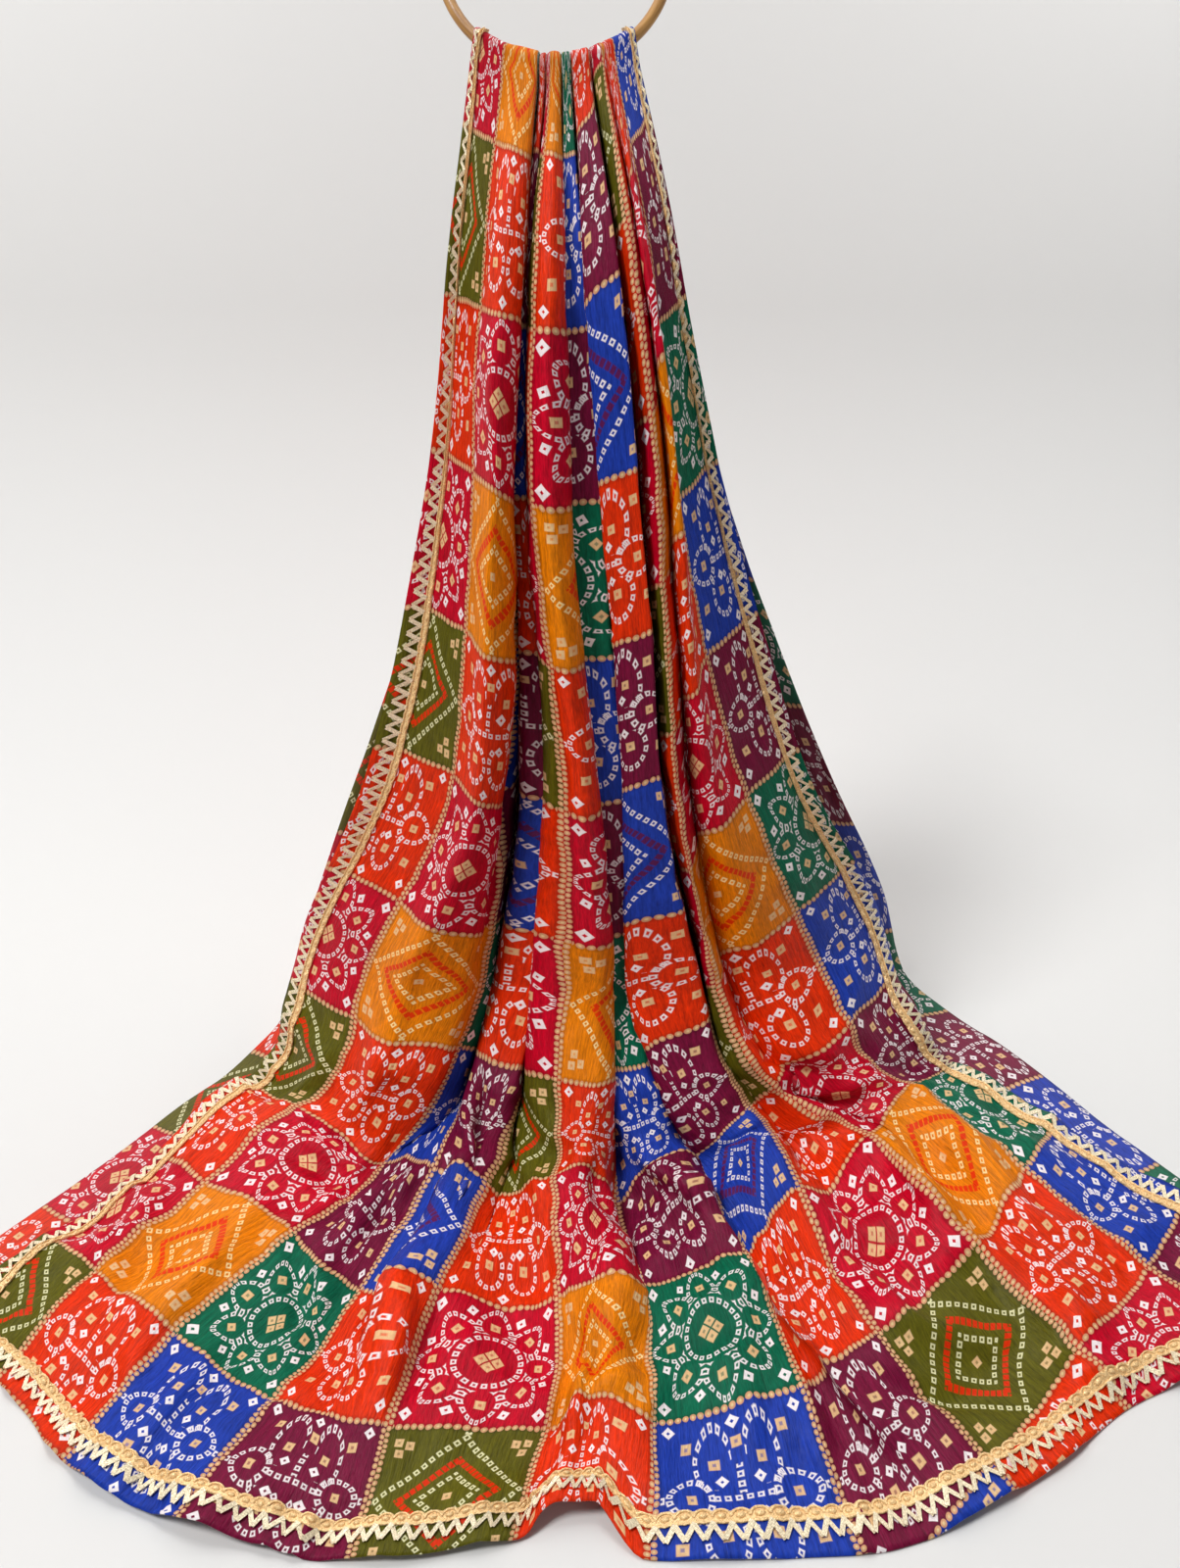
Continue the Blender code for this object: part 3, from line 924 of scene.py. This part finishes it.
def crepe(name, faded):
    """The dyed and tied crepe. faded: how much paler its wrong side is."""
    material, shader = start_material(name)
    u, r = print_place()
    place = vector(u, r)
    # the ties are never quite in line
    wave_a = texture_noise(place, 3.1, 1.0) - 0.5
    wave_b = texture_noise(vector(r, u, 3.0), 3.3, 1.0) - 0.5
    pu = u + wave_a * 0.055
    pr = r + wave_b * 0.055
    column, row = m("FLOOR", pu), m("FLOOR", pr)
    index = m("FLOORED_MODULO", column, 4.0) + m("FLOORED_MODULO", row, 3.0) * 4.0
    base = steps(index, [c[0] for c in REPEAT])
    is_flower, is_diamond, is_leaf = parts_of(steps(index, [c[1] for c in REPEAT]))
    dot_colour = steps(index, [c[2] for c in REPEAT])
    line_colour = steps(index, [c[3] for c in REPEAT])
    x, y = fract(pu) - 0.5, fract(pr) - 0.5
    ax, ay = mabs(x), mabs(y)
    rho = m("SQRT", x * x + y * y)
    turn = m("ARCTAN2", y, x)

    # flower: a plain disc in a ring of dots, eight petals
    count = 22
    disc_ring = ring_of(square_dot(
        rho - 0.190, (fract(turn * (count / (2 * math.pi))) - 0.5) * (2 * math.pi * 0.190 / count), 0.0167, 0.0075))
    eighth = m("FLOORED_MODULO", turn + math.pi / 8, math.pi / 4) - math.pi / 8
    px, py = rho * m("COSINE", eighth), rho * m("SINE", eighth)
    petals = loop(px, py / (1.10 - (px - 0.33) * 3.6), 0.330, 0.0, 0.0, 0.128, 0.090, 13)
    petals = petals * cover(0.232 - rho, 0.004)
    between = m("FLOORED_MODULO", turn, math.pi / 4) - math.pi / 8
    gx, gy = rho * m("COSINE", between) - 0.415, rho * m("SINE", between)
    gaps = cover(mabs(gx) + mabs(gy) - 0.040) * (1 - cover(mabs(gx) + mabs(gy) - 0.011))
    corner = mabs(ax - 0.410) + mabs(ay - 0.410)
    corners = cover(corner - 0.048) * (1 - cover(corner - 0.013))
    flower_white = mmax(disc_ring, petals, gaps, corners)
    da, db = mabs(x + y) * 0.70711, mabs(x - y) * 0.70711
    four, four_in = square_dot(da - 0.035, db - 0.035, 0.0295, 0.009)
    heart, heart_in = square_dot(px - 0.325, py, 0.030, 0.010)
    flower_tan, flower_in = mmax(four, heart), mmax(four_in, heart_in)
    disc = cover(rho - 0.170, 0.02)

    # diamonds: pale dots, coloured dashes, pale dots, one in another
    taxi, along = (ax + ay) * 0.70711, (ax - ay) * 0.70711
    outer = dotted(taxi - 0.310, along, 0.056)
    inner = dotted(taxi - 0.125, along, 0.0545)
    tips = ring_of(square_dot(mmax(ax, ay) - 0.475, m("MINIMUM", ax, ay), 0.018, 0.006))
    dash_at = (fract(along / 0.042) - 0.5) * 0.042
    dashes = cover(mmax(mabs(taxi - 0.207) - 0.0215, mabs(dash_at) - 0.0165)) * cover(mabs(along) - 0.225)
    diamond_white = mmax(outer * cover(mabs(along) - 0.33), inner * cover(mabs(along) - 0.14), tips)
    c1, c1_in = square_dot(ax - 0.375, ay - 0.315, 0.027, 0.008)
    c2, c2_in = square_dot(ax - 0.315, ay - 0.375, 0.027, 0.008)
    c3, c3_in = square_dot(ax - 0.390, ay - 0.390, 0.027, 0.008)
    c0, c0_in = square_dot(ax, ay, 0.026, 0.008)
    diamond_tan = mmax(c0, c1, c2, c3)
    diamond_in = mmax(c0_in, c1_in, c2_in, c3_in)

    # leaves: a heart of two lobes over two almonds, on a stem with two legs
    high = loop(ax, y / (1.0 + (y - 0.2) * 0.6), 0.132, 0.205, 0.0, 0.100, 0.165, 14)
    high = high * cover(0.055 - y, 0.004) * mmax(cover(0.118 - ax, 0.004), cover(0.040 - ax, 0.004) * cover(0.205 - y, 0.004))
    low = loop(ax, y / (1.08 - (ax - 0.29) * 1.8), 0.290, 0.004, 0.0, 0.122, 0.100, 13)
    brow = dotted(y, ax, 0.054) * cover(ax - 0.150)
    stem = dotted(x, y, 0.054) * cover(mabs(y - 0.110) - 0.082)
    under = loop(ax, y, 0.128, -0.215, 0.0, 0.104, 0.150, 14) * cover(y + 0.095, 0.004)
    tip = ring_of(square_dot(ax - 0.455, y, 0.018, 0.0075))
    top, top_in = square_dot(ax, y - 0.305, 0.028, 0.009)
    eye1, eye1_in = square_dot(ax - 0.130, y - 0.205, 0.028, 0.009)
    eye2, eye2_in = square_dot(ax - 0.285, y - 0.004, 0.028, 0.009)
    far1, far1_in = square_dot(ax - 0.285, y - 0.330, 0.031, 0.010)
    far2, far2_in = square_dot(ax - 0.128, y + 0.205, 0.030, 0.010)
    far3, far3_in = square_dot(ax - 0.345, y + 0.250, 0.030, 0.010)
    leaf_tan = mmax(top, eye1, eye2, far1, far2, far3)
    leaf_in = mmax(top_in, eye1_in, eye2_in, far1_in, far2_in, far3_in)
    star = m("MINIMUM", ax + mabs(mabs(y + 0.005) - 0.425), mabs(ax - 0.400) + mabs(y + 0.400))
    star = m("MINIMUM", star, mabs(ax - 0.390) + mabs(y - 0.425))
    small = mabs(ax - 0.098) + mabs(mabs(y) - 0.108)
    leaf_white = mmax(low, high, stem, brow, under, tip, cover(star - 0.042) * (1 - cover(star - 0.012)),
                      cover(small - 0.036) * (1 - cover(small - 0.010)))

    white = is_flower * flower_white + is_diamond * diamond_white + is_leaf * leaf_white
    tan = is_flower * flower_tan + is_diamond * diamond_tan + is_leaf * leaf_tan
    tan_in = is_flower * flower_in + is_diamond * diamond_in + is_leaf * leaf_in
    dash = is_diamond * dashes

    # borders: beads along the lines between the squares
    bx, by = m("PINGPONG", pu, 0.5), m("PINGPONG", pr, 0.5)
    strand = mabs(bx - 0.0165)
    slant = fract(pr / 0.041 + m("GREATER_THAN", fract(pu + 0.5), 0.5) * 0.5) - 0.5
    long_bead = m("SQRT", (strand / 0.0185) * (strand / 0.0185) + (slant * 2.3) * (slant * 2.3))
    cross = (fract(pu / 0.050) - 0.5) * 2.25
    cross_bead = m("SQRT", (by / 0.0215) * (by / 0.0215) + cross * cross)
    bead = m("MINIMUM", long_bead, cross_bead + cover(bx - 0.034) * 3)
    beads = cover(bead - 0.94, 0.22)
    # painted highlight: the middle of each bead is drawn paler, gold over peach
    painted_bead_highlight = cover(bead - 0.40, 0.30)
    edge_dark = cover(m("MINIMUM", bx - 0.044, by - 0.028), 0.02)
    clear = 1 - cover(m("MINIMUM", bx - 0.040, by - 0.026), 0.004)
    white, tan, tan_in, dash = white * clear, tan * clear, tan_in * clear, dash * clear

    # dye: uneven, darker near the lines between the squares; painted shade: darker in the troughs of the crepe's fine
    # crinkle lines
    mottle = texture_noise(place, 2.3, 4.0, 0.6)
    crinkle_shade_and_bump = texture_noise(vector(u * 46.0, r * 3.2), 1.0, 3.0, 0.6)
    fine = texture_noise(vector(u * 110.0, r * 17.0), 1.0, 2.0, 0.6)
    # painted shade: the colour is darker along the troughs of the crinkle lines, the same noise that bumps the crepe
    # below; the mottle is uneven dye
    tone_and_painted_light = 0.70 + mottle * 0.28 + (crinkle_shade_and_bump - 0.5) * 1.15 + (fine - 0.5) * 0.90
    tone_and_painted_light = m("MAXIMUM", tone_and_painted_light, 0.15)
    colour = scaled(base, tone_and_painted_light * (1 - disc * is_flower * 0.12) * (1 - edge_dark * 0.30))
    # painted shade of the crinkles also on the dashes and on the tan dots
    hot = scaled(line_colour, 0.85 + fine * 0.3)
    colour = mix(dash * 0.92, colour, hot)
    grey = texture_noise(place, 21.0, 2.0)
    dot_shade = scaled(dot_colour, 0.74 + grey * 0.46)
    colour = mix(white * 0.94, colour, dot_shade)
    tan_shade = scaled(mix(grey, TAN, GOLD), 0.82 + fine * 0.3)
    colour = mix(tan * (1 - tan_in * 0.62) * 0.93, colour, tan_shade)
    bead_shade = scaled(mix(painted_bead_highlight, PEACH, GOLD), 0.52 + grey * 0.62)
    colour = mix(beads * 0.95, colour, bead_shade)
    if faded:
        colour = mix(faded, colour, linear(205, 190, 190))
    Val.tree.links.new(colour.socket, shader.inputs["Base Color"])
    shader.inputs["Roughness"].default_value = 0.46
    shader.inputs["Specular IOR Level"].default_value = 0.13
    shader.inputs["Sheen Weight"].default_value = 0.0
    shader.inputs["Sheen Roughness"].default_value = 0.4
    height = crinkle_shade_and_bump * 1.0 + fine * 0.5 + mottle * 1.1
    bump(shader, height, 0.0011, 0.75)
    return material


# ---- gold lace -----------------------------------------------------------------------------
def gold(name, colour, rough, metal):
    material, shader = start_material(name)
    s, w = print_place()
    # painted glints: a fine noise paints bright sparkles and a darker shaded copy of the colour into the lace, and also
    # bumps it
    painted_glint_and_bump = texture_noise(vector(s * 900.0, w * 900.0), 1.0, 3.0, 0.7)
    weave = m("SINE", s * 5200.0) * m("SINE", w * 5200.0)
    tone_and_painted_light = 0.50 + painted_glint_and_bump * 1.45 + weave * 0.10
    # painted shade: the darker copy of the lace colour that the glint noise mixes in
    dark = linear(colour[0] * 0.72, colour[1] * 0.64, colour[2] * 0.52)
    body = scaled(mix(painted_glint_and_bump, dark, linear(*colour)), tone_and_painted_light)
    Val.tree.links.new(body.socket, shader.inputs["Base Color"])
    shader.inputs["Metallic"].default_value = metal
    shader.inputs["Roughness"].default_value = rough
    bump(shader, painted_glint_and_bump * 1.0 + weave * 0.3, 0.0004, 0.6)
    return material


PITCH = 0.009
BRAID = 0.0070              # the braid takes this much of the lace, the zigzag the rest


def tube_faces(path_count, sides, start):
    faces = []
    for i in range(path_count - 1):
        for j in range(sides):
            k = (j + 1) % sides
            a, b = start + i * sides, start + (i + 1) * sides
            faces.append((a + j, b + j, b + k, a + k))
    faces.append(tuple(start + j for j in range(sides)))
    end = start + (path_count - 1) * sides
    faces.append(tuple(end + j for j in reversed(range(sides))))
    return faces


def tube(path, radius, sides, start, flat=0.75):
    """A thin cord along a path in (along, across, height)."""
    path = np.array(path)
    step = np.gradient(path, axis=0)
    step /= np.linalg.norm(step, axis=1, keepdims=True)
    side = np.cross(step, [0, 0, 1.0])
    side /= np.maximum(np.linalg.norm(side, axis=1, keepdims=True), 1e-9)
    up = np.cross(side, step)
    angles = np.arange(sides) * 2 * math.pi / sides
    points = (path[:, None] + side[:, None] * (radius * np.cos(angles))[None, :, None]
              + up[:, None] * (radius * flat * np.sin(angles))[None, :, None])
    return points.reshape(-1, 3), tube_faces(len(path), sides, start)


def lace_repeat():
    """One repeat of the lace, lying flat: points (along, across, height), and faces
    of the braid and of the zigzag."""
    points, braid, zigzag, count = [], [], [], 0

    def add(new_points, new_faces, to):
        nonlocal count
        points.append(new_points)
        to.extend(new_faces)
        count += len(new_points)

    # the woven strip under it all
    along = np.linspace(0, PITCH, 4)
    low = np.array([(s, w, h) for s in along for w, h in ((0.9e-3, 0.1e-3), (0.9e-3, 0.7e-3), (BRAID, 0.7e-3), (BRAID, 0.1e-3))])
    add(low, tube_faces(4, 4, count), braid)
    # the scalloped cord: one arch a repeat
    t = np.linspace(0, math.pi, 9)
    arch = np.stack([PITCH / 2 - np.cos(t) * PITCH / 2 * 0.98, 3.6e-3 - np.sin(t) * 3.3e-3, np.full(9, 1.0e-3) + 0.3e-3 * np.sin(t)], 1)
    new, faces = tube(arch, 0.75e-3, 6, count)
    add(new, faces, braid)
    # the glossy oval in each arch
    rings, sides = 4, 8
    oval = [(PITCH / 2, 3.3e-3, 2.1e-3)]
    for i in range(1, rings):
        v = i / (rings - 1) * math.pi / 2
        for j in range(sides):
            a = j * 2 * math.pi / sides
            oval.append((PITCH / 2 + 2.5e-3 * math.sin(v) * math.cos(a), 3.3e-3 + 1.7e-3 * math.sin(v) * math.sin(a),
                         0.7e-3 + 1.4e-3 * math.cos(v)))
    oval_faces = [(count, count + 1 + j, count + 1 + (j + 1) % sides) for j in range(sides)]
    for i in range(rings - 2):
        for j in range(sides):
            k = (j + 1) % sides
            a, b = count + 1 + i * sides, count + 1 + (i + 1) * sides
            oval_faces.append((a + j, b + j, b + k, a + k))
    last = count + 1 + (rings - 2) * sides
    oval_faces.append(tuple(last + j for j in reversed(range(sides))))
    add(np.array(oval), oval_faces, braid)
    # the bright cord between braid and zigzag
    s = np.linspace(0, PITCH, 5)
    line = np.stack([s, np.full(5, BRAID - 0.4e-3) + 0.25e-3 * np.cos(s / PITCH * 4 * math.pi), np.full(5, 1.2e-3)], 1)
    new, faces = tube(line, 0.65e-3, 6, count)
    add(new, faces, braid)
    # the folded ribbon: two bars to each point, one over the other
    tip, foot = LACE_WIDE - 0.4e-3, BRAID + 0.2e-3
    for k, (s0, s1, lift) in enumerate(((0.0, PITCH / 2, 0.3e-3), (PITCH, PITCH / 2, 0.9e-3))):
        d = np.array([s1 - s0, tip - foot])
        d /= np.linalg.norm(d)
        n = np.array([-d[1], d[0]]) * 1.35e-3
        a, b = np.array([s0, foot]) - d * 0.8e-3, np.array([s1, tip])
        bar = []
        for p, h in ((a, 0.0), (b, 0.35e-3)):
            for sign, rise in ((-1, 0.15e-3), (1, 0.65e-3)):
                edge = p + n * sign
                for z in (lift + h + rise, lift + h + rise + 0.45e-3):
                    bar.append((edge[0], edge[1], z))
        c = count
        add(np.array(bar), [(c, c + 1, c + 3, c + 2), (c + 4, c + 6, c + 7, c + 5), (c, c + 4, c + 5, c + 1),
                            (c + 2, c + 3, c + 7, c + 6), (c + 1, c + 5, c + 7, c + 3), (c, c + 2, c + 6, c + 4)], zigzag)
    return np.concatenate(points), braid, zigzag


def lace_piece(name, points, out, line, wide, materials):
    """Repeats of the lace bent onto the cloth. points, out: the cloth under it and its
    normals, (along, across, 3). line, wide: the flat places of that grid, in metres."""
    length = line[-1] - line[0]
    count = int(round(length / PITCH))
    stretch = length / (count * PITCH)
    one, braid, zigzag = lace_repeat()
    flat = np.concatenate([one + [i * PITCH, 0, 0] for i in range(count)])
    flat[:, 0] *= stretch
    rng = np.random.default_rng(23)
    flat[:, 1] += 0.00018 * np.repeat(rng.uniform(-1, 1, count), len(one))
    # the place of each point in the grid
    i = np.clip(np.interp(flat[:, 0] + line[0], line, np.arange(len(line))), 0, len(line) - 1.001)
    j = np.clip(np.interp(flat[:, 1], wide, np.arange(len(wide))), 0, len(wide) - 1.001)
    i0, j0 = i.astype(int), j.astype(int)
    fi, fj = (i - i0)[:, None], (j - j0)[:, None]

    def at(grid):
        return ((grid[i0, j0] * (1 - fi) + grid[i0 + 1, j0] * fi) * (1 - fj)
                + (grid[i0, j0 + 1] * (1 - fi) + grid[i0 + 1, j0 + 1] * fi) * fj)

    normal = at(out)
    normal /= np.linalg.norm(normal, axis=1, keepdims=True)
    places = at(points) + normal * (flat[:, 2:3] + SHEET / 2)
    faces, slots = [], []
    for k in range(count):
        shift = k * len(one)
        for part, slot in ((braid, 0), (zigzag, 1)):
            faces += [tuple(v + shift for v in face) for face in part]
            slots += [slot] * len(part)
    obj = mesh_of(name, places, faces, flat[:, :2])
    for material in materials:
        obj.data.materials.append(material)
    obj.data.polygons.foreach_set("material_index", slots)
    obj.data.set_sharp_from_angle(angle=math.radians(40))
    return obj


# ---- the cloth ---------------------------------------------------------------------------------
def spread(stops, count):
    """count values from first to last stop, denser where the table says so."""
    xs = np.array([s[0] for s in stops])
    share = np.array([s[1] for s in stops])
    fine = np.linspace(xs[0], xs[-1], 4000)
    weight = np.interp(fine, xs, share)
    total = np.concatenate([[0], np.cumsum((weight[1:] + weight[:-1]) / 2)])
    return np.interp(np.linspace(0, total[-1], count), total, fine)


across = spread([(LEFT, 1.3), (1.8, 0.9), (3.2, 1.0), (5.2, 1.15), (8.4, 1.15), (9.4, 1.1), (RIGHT, 1.0)], 238)
front_rows = spread([(-QUARTER, 5), (0.30, 2.4), (0.8, 1.0), (5.6, 1.0), (7.4, 1.1), (10.0, 1.0), (FRONT_ROWS, 1.6)], 204)
back_rows = spread([(QUARTER, 5), (0.30, 2.4), (0.8, 0.9), (5.6, 0.9), (7.4, 1.0), (BACK_ROWS, 1.3)], 150)
back_across = spread([(LEFT, 1.3), (1.8, 0.9), (RIGHT, 1.1)], 200)

right_side = crepe("dyed_crepe", 0.0)
wrong_side = crepe("dyed_crepe_wrong_side", 0.04)


def cloth_piece(name, u, down):
    points, _ = surface(u, down)
    obj = grid_mesh(name, points, flat_place(u, down))
    solid = obj.modifiers.new("thickness", "SOLIDIFY")
    solid.thickness = SHEET
    solid.offset = 0
    solid.use_even_offset = False
    solid.material_offset = 1
    solid.material_offset_rim = 1
    obj.data.materials.append(wrong_side)
    obj.data.materials.append(right_side)
    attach(obj, "root")
    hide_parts("cloth")
    return obj


front = cloth_piece("cloth_front", across, front_rows)
back = cloth_piece("cloth_back", back_across, -back_rows[::-1])

# ---- the lace ---------------------------------------------------------------------------------------
braid_gold = gold("gold_braid", (255, 222, 166), 0.28, 0.18)
ribbon_gold = gold("gold_ribbon", (255, 246, 218), 0.20, 0.15)
LACE = (braid_gold, ribbon_gold)
wide = np.linspace(0, LACE_WIDE, 7)


def side_lace(name, left, start, end, node):
    """Lace along a long edge, from row start to row end, its points outwards."""
    count = int(abs(end - start) * SQUARE / 0.0022)
    down = np.linspace(start, end, count)
    inner = SIDE_MARGIN + LACE_WIDE
    u = LEFT + (inner - wide) / SQUARE if left else RIGHT - (inner - wide) / SQUARE
    order = np.argsort(u)
    points, out = surface(u[order], down)
    back_to = np.argsort(order)
    points, out = points[:, back_to], out[:, back_to]
    piece = lace_piece(name, points, out, np.abs(down - start) * SQUARE, wide, LACE)
    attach(piece, "root")
    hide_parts(node)
    return piece


def hem_lace(name, is_front, node):
    rows = FRONT_ROWS if is_front else BACK_ROWS
    inner = HEM_MARGIN + LACE_WIDE
    down = rows - (inner - wide) / SQUARE
    start, end = LEFT + SIDE_MARGIN / SQUARE, RIGHT - SIDE_MARGIN / SQUARE
    u = np.linspace(start, end, int((end - start) * SQUARE / 0.0022))
    if is_front:
        points, out = surface(u, down)
    else:
        points, out = surface(u, -down[::-1])
        points, out = points[::-1], out[::-1]
    points, out = np.swapaxes(points, 0, 1), np.swapaxes(out, 0, 1)
    piece = lace_piece(name, points, out, (u - start) * SQUARE, wide, LACE)
    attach(piece, "root")
    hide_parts(node)
    return piece


stop_front = FRONT_ROWS - (HEM_MARGIN + LACE_WIDE) / SQUARE
stop_back = -(BACK_ROWS - (HEM_MARGIN + LACE_WIDE) / SQUARE)
lace_left = side_lace("lace_left", True, stop_back, stop_front, "lace_edge_left")
lace_right = side_lace("lace_right", False, stop_back, stop_front, "lace_edge_right")
lace_front = hem_lace("lace_front", True, "lace_hem_front")
lace_back = hem_lace("lace_back", False, "lace_hem_back")

# ---- the ring -----------------------------------------------------------------------------------------
def ring_piece():
    bpy.ops.mesh.primitive_torus_add(
        major_radius=RING_MEAN, minor_radius=TUBE / 2, major_segments=192, minor_segments=28,
        rotation=(math.pi / 2 - RING_LEAN, 0, 0),
        location=(0, -HOOK_Y + RING_MEAN * math.sin(RING_LEAN),
                  RING_FOOT + RING_MEAN * math.cos(RING_LEAN) - HOOK_Z))
    obj = bpy.context.object
    obj.name = obj.data.name = "ring_wood"
    obj.data.uv_layers.active.name = "print"
    obj.data.shade_smooth()
    material, shader = start_material("ring_wood")
    s, w = print_place()
    grain = texture_noise(vector(s * 14.0, w * 9.0), 1.0, 4.0, 0.6)
    fibre = texture_noise(vector(s * 60.0, w * 46.0), 1.0, 3.0, 0.65)
    colour = mix(m("MULTIPLY_ADD", grain, 2.2, -0.6, clamp=True), linear(142, 94, 44), linear(202, 152, 84))
    colour = scaled(colour, 0.80 + fibre * 0.36)
    Val.tree.links.new(colour.socket, shader.inputs["Base Color"])
    shader.inputs["Roughness"].default_value = 0.42
    shader.inputs["Coat Weight"].default_value = 0.15
    bump(shader, fibre + grain * 0.5, 0.0003, 0.5)
    obj.data.materials.append(material)
    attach(obj, "root")
    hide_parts("ring")
    return obj


ring = ring_piece()

# ---- floor, light, camera --------------------------------------------------------------------------------
def cove():
    """A pale floor that curves up into a wall."""
    points, wall, low = [], 0.62, -HOOK_Z - 0.0006
    profile = [(-6.0, low), (wall - 0.5, low)]
    profile += [(wall - 0.5 + 0.5 * math.sin(t), low + 0.5 - 0.5 * math.cos(t)) for t in np.linspace(0.1, math.pi / 2, 14)]
    profile += [(wall, 4.0)]
    for y, z in profile:
        points += [(-6.0, y, z), (6.0, y, z)]
    faces = [(2 * i, 2 * i + 1, 2 * i + 3, 2 * i + 2) for i in range(len(profile) - 1)]
    obj = mesh_of("floor", np.array(points), faces)
    material, shader = start_material("pale_floor")
    shader.inputs["Base Color"].default_value = linear(222, 221, 219)
    shader.inputs["Roughness"].default_value = 0.8
    obj.data.materials.append(material)


cove()


def area(name, at, to, size, power, colour=(1, 1, 1)):
    light = bpy.data.lights.new(name, "AREA")
    light.size = size
    light.energy = power
    light.color = colour
    obj = bpy.data.objects.new(name, light)
    scene.collection.objects.link(obj)
    obj.location = at
    from mathutils import Vector
    obj.rotation_euler = (Vector(to) - Vector(at)).to_track_quat("-Z", "Y").to_euler()


area("key", (-1.45, -1.25, 2.15), (0, -0.1, -0.45), 0.8, 76)
area("fill", (1.7, -1.9, 0.5), (0, 0, -0.5), 1.6, 4.5)
area("top", (0.25, 0.10, 2.3), (0, -0.15, -0.6), 1.0, 24)
area("wall_right", (0.75, 0.15, 0.50), (0.70, 0.62, -0.05), 0.6, 2.6)
area("wall_left", (-0.75, 0.15, 0.50), (-0.70, 0.62, -0.05), 0.6, 1.3)
scene.world = scene.world or bpy.data.worlds.new("studio")
scene.world.use_nodes = True
backdrop = scene.world.node_tree.nodes["Background"]
backdrop.inputs[0].default_value = (0.93, 0.96, 1.0, 1)
backdrop.inputs[1].default_value = 0.13
scene.view_settings.view_transform = "Standard"

camera = bpy.data.cameras.new("camera")
camera.sensor_width = 36
camera.lens = 36 * 1250 / 1600
camera.clip_start = 0.02
eye = bpy.data.objects.new("camera", camera)
eye.location = (0.02, -0.80 - HOOK_Y, 0.595 - HOOK_Z)
eye.rotation_euler = (math.radians(65), 0, 0)
scene.collection.objects.link(eye)
scene.camera = eye
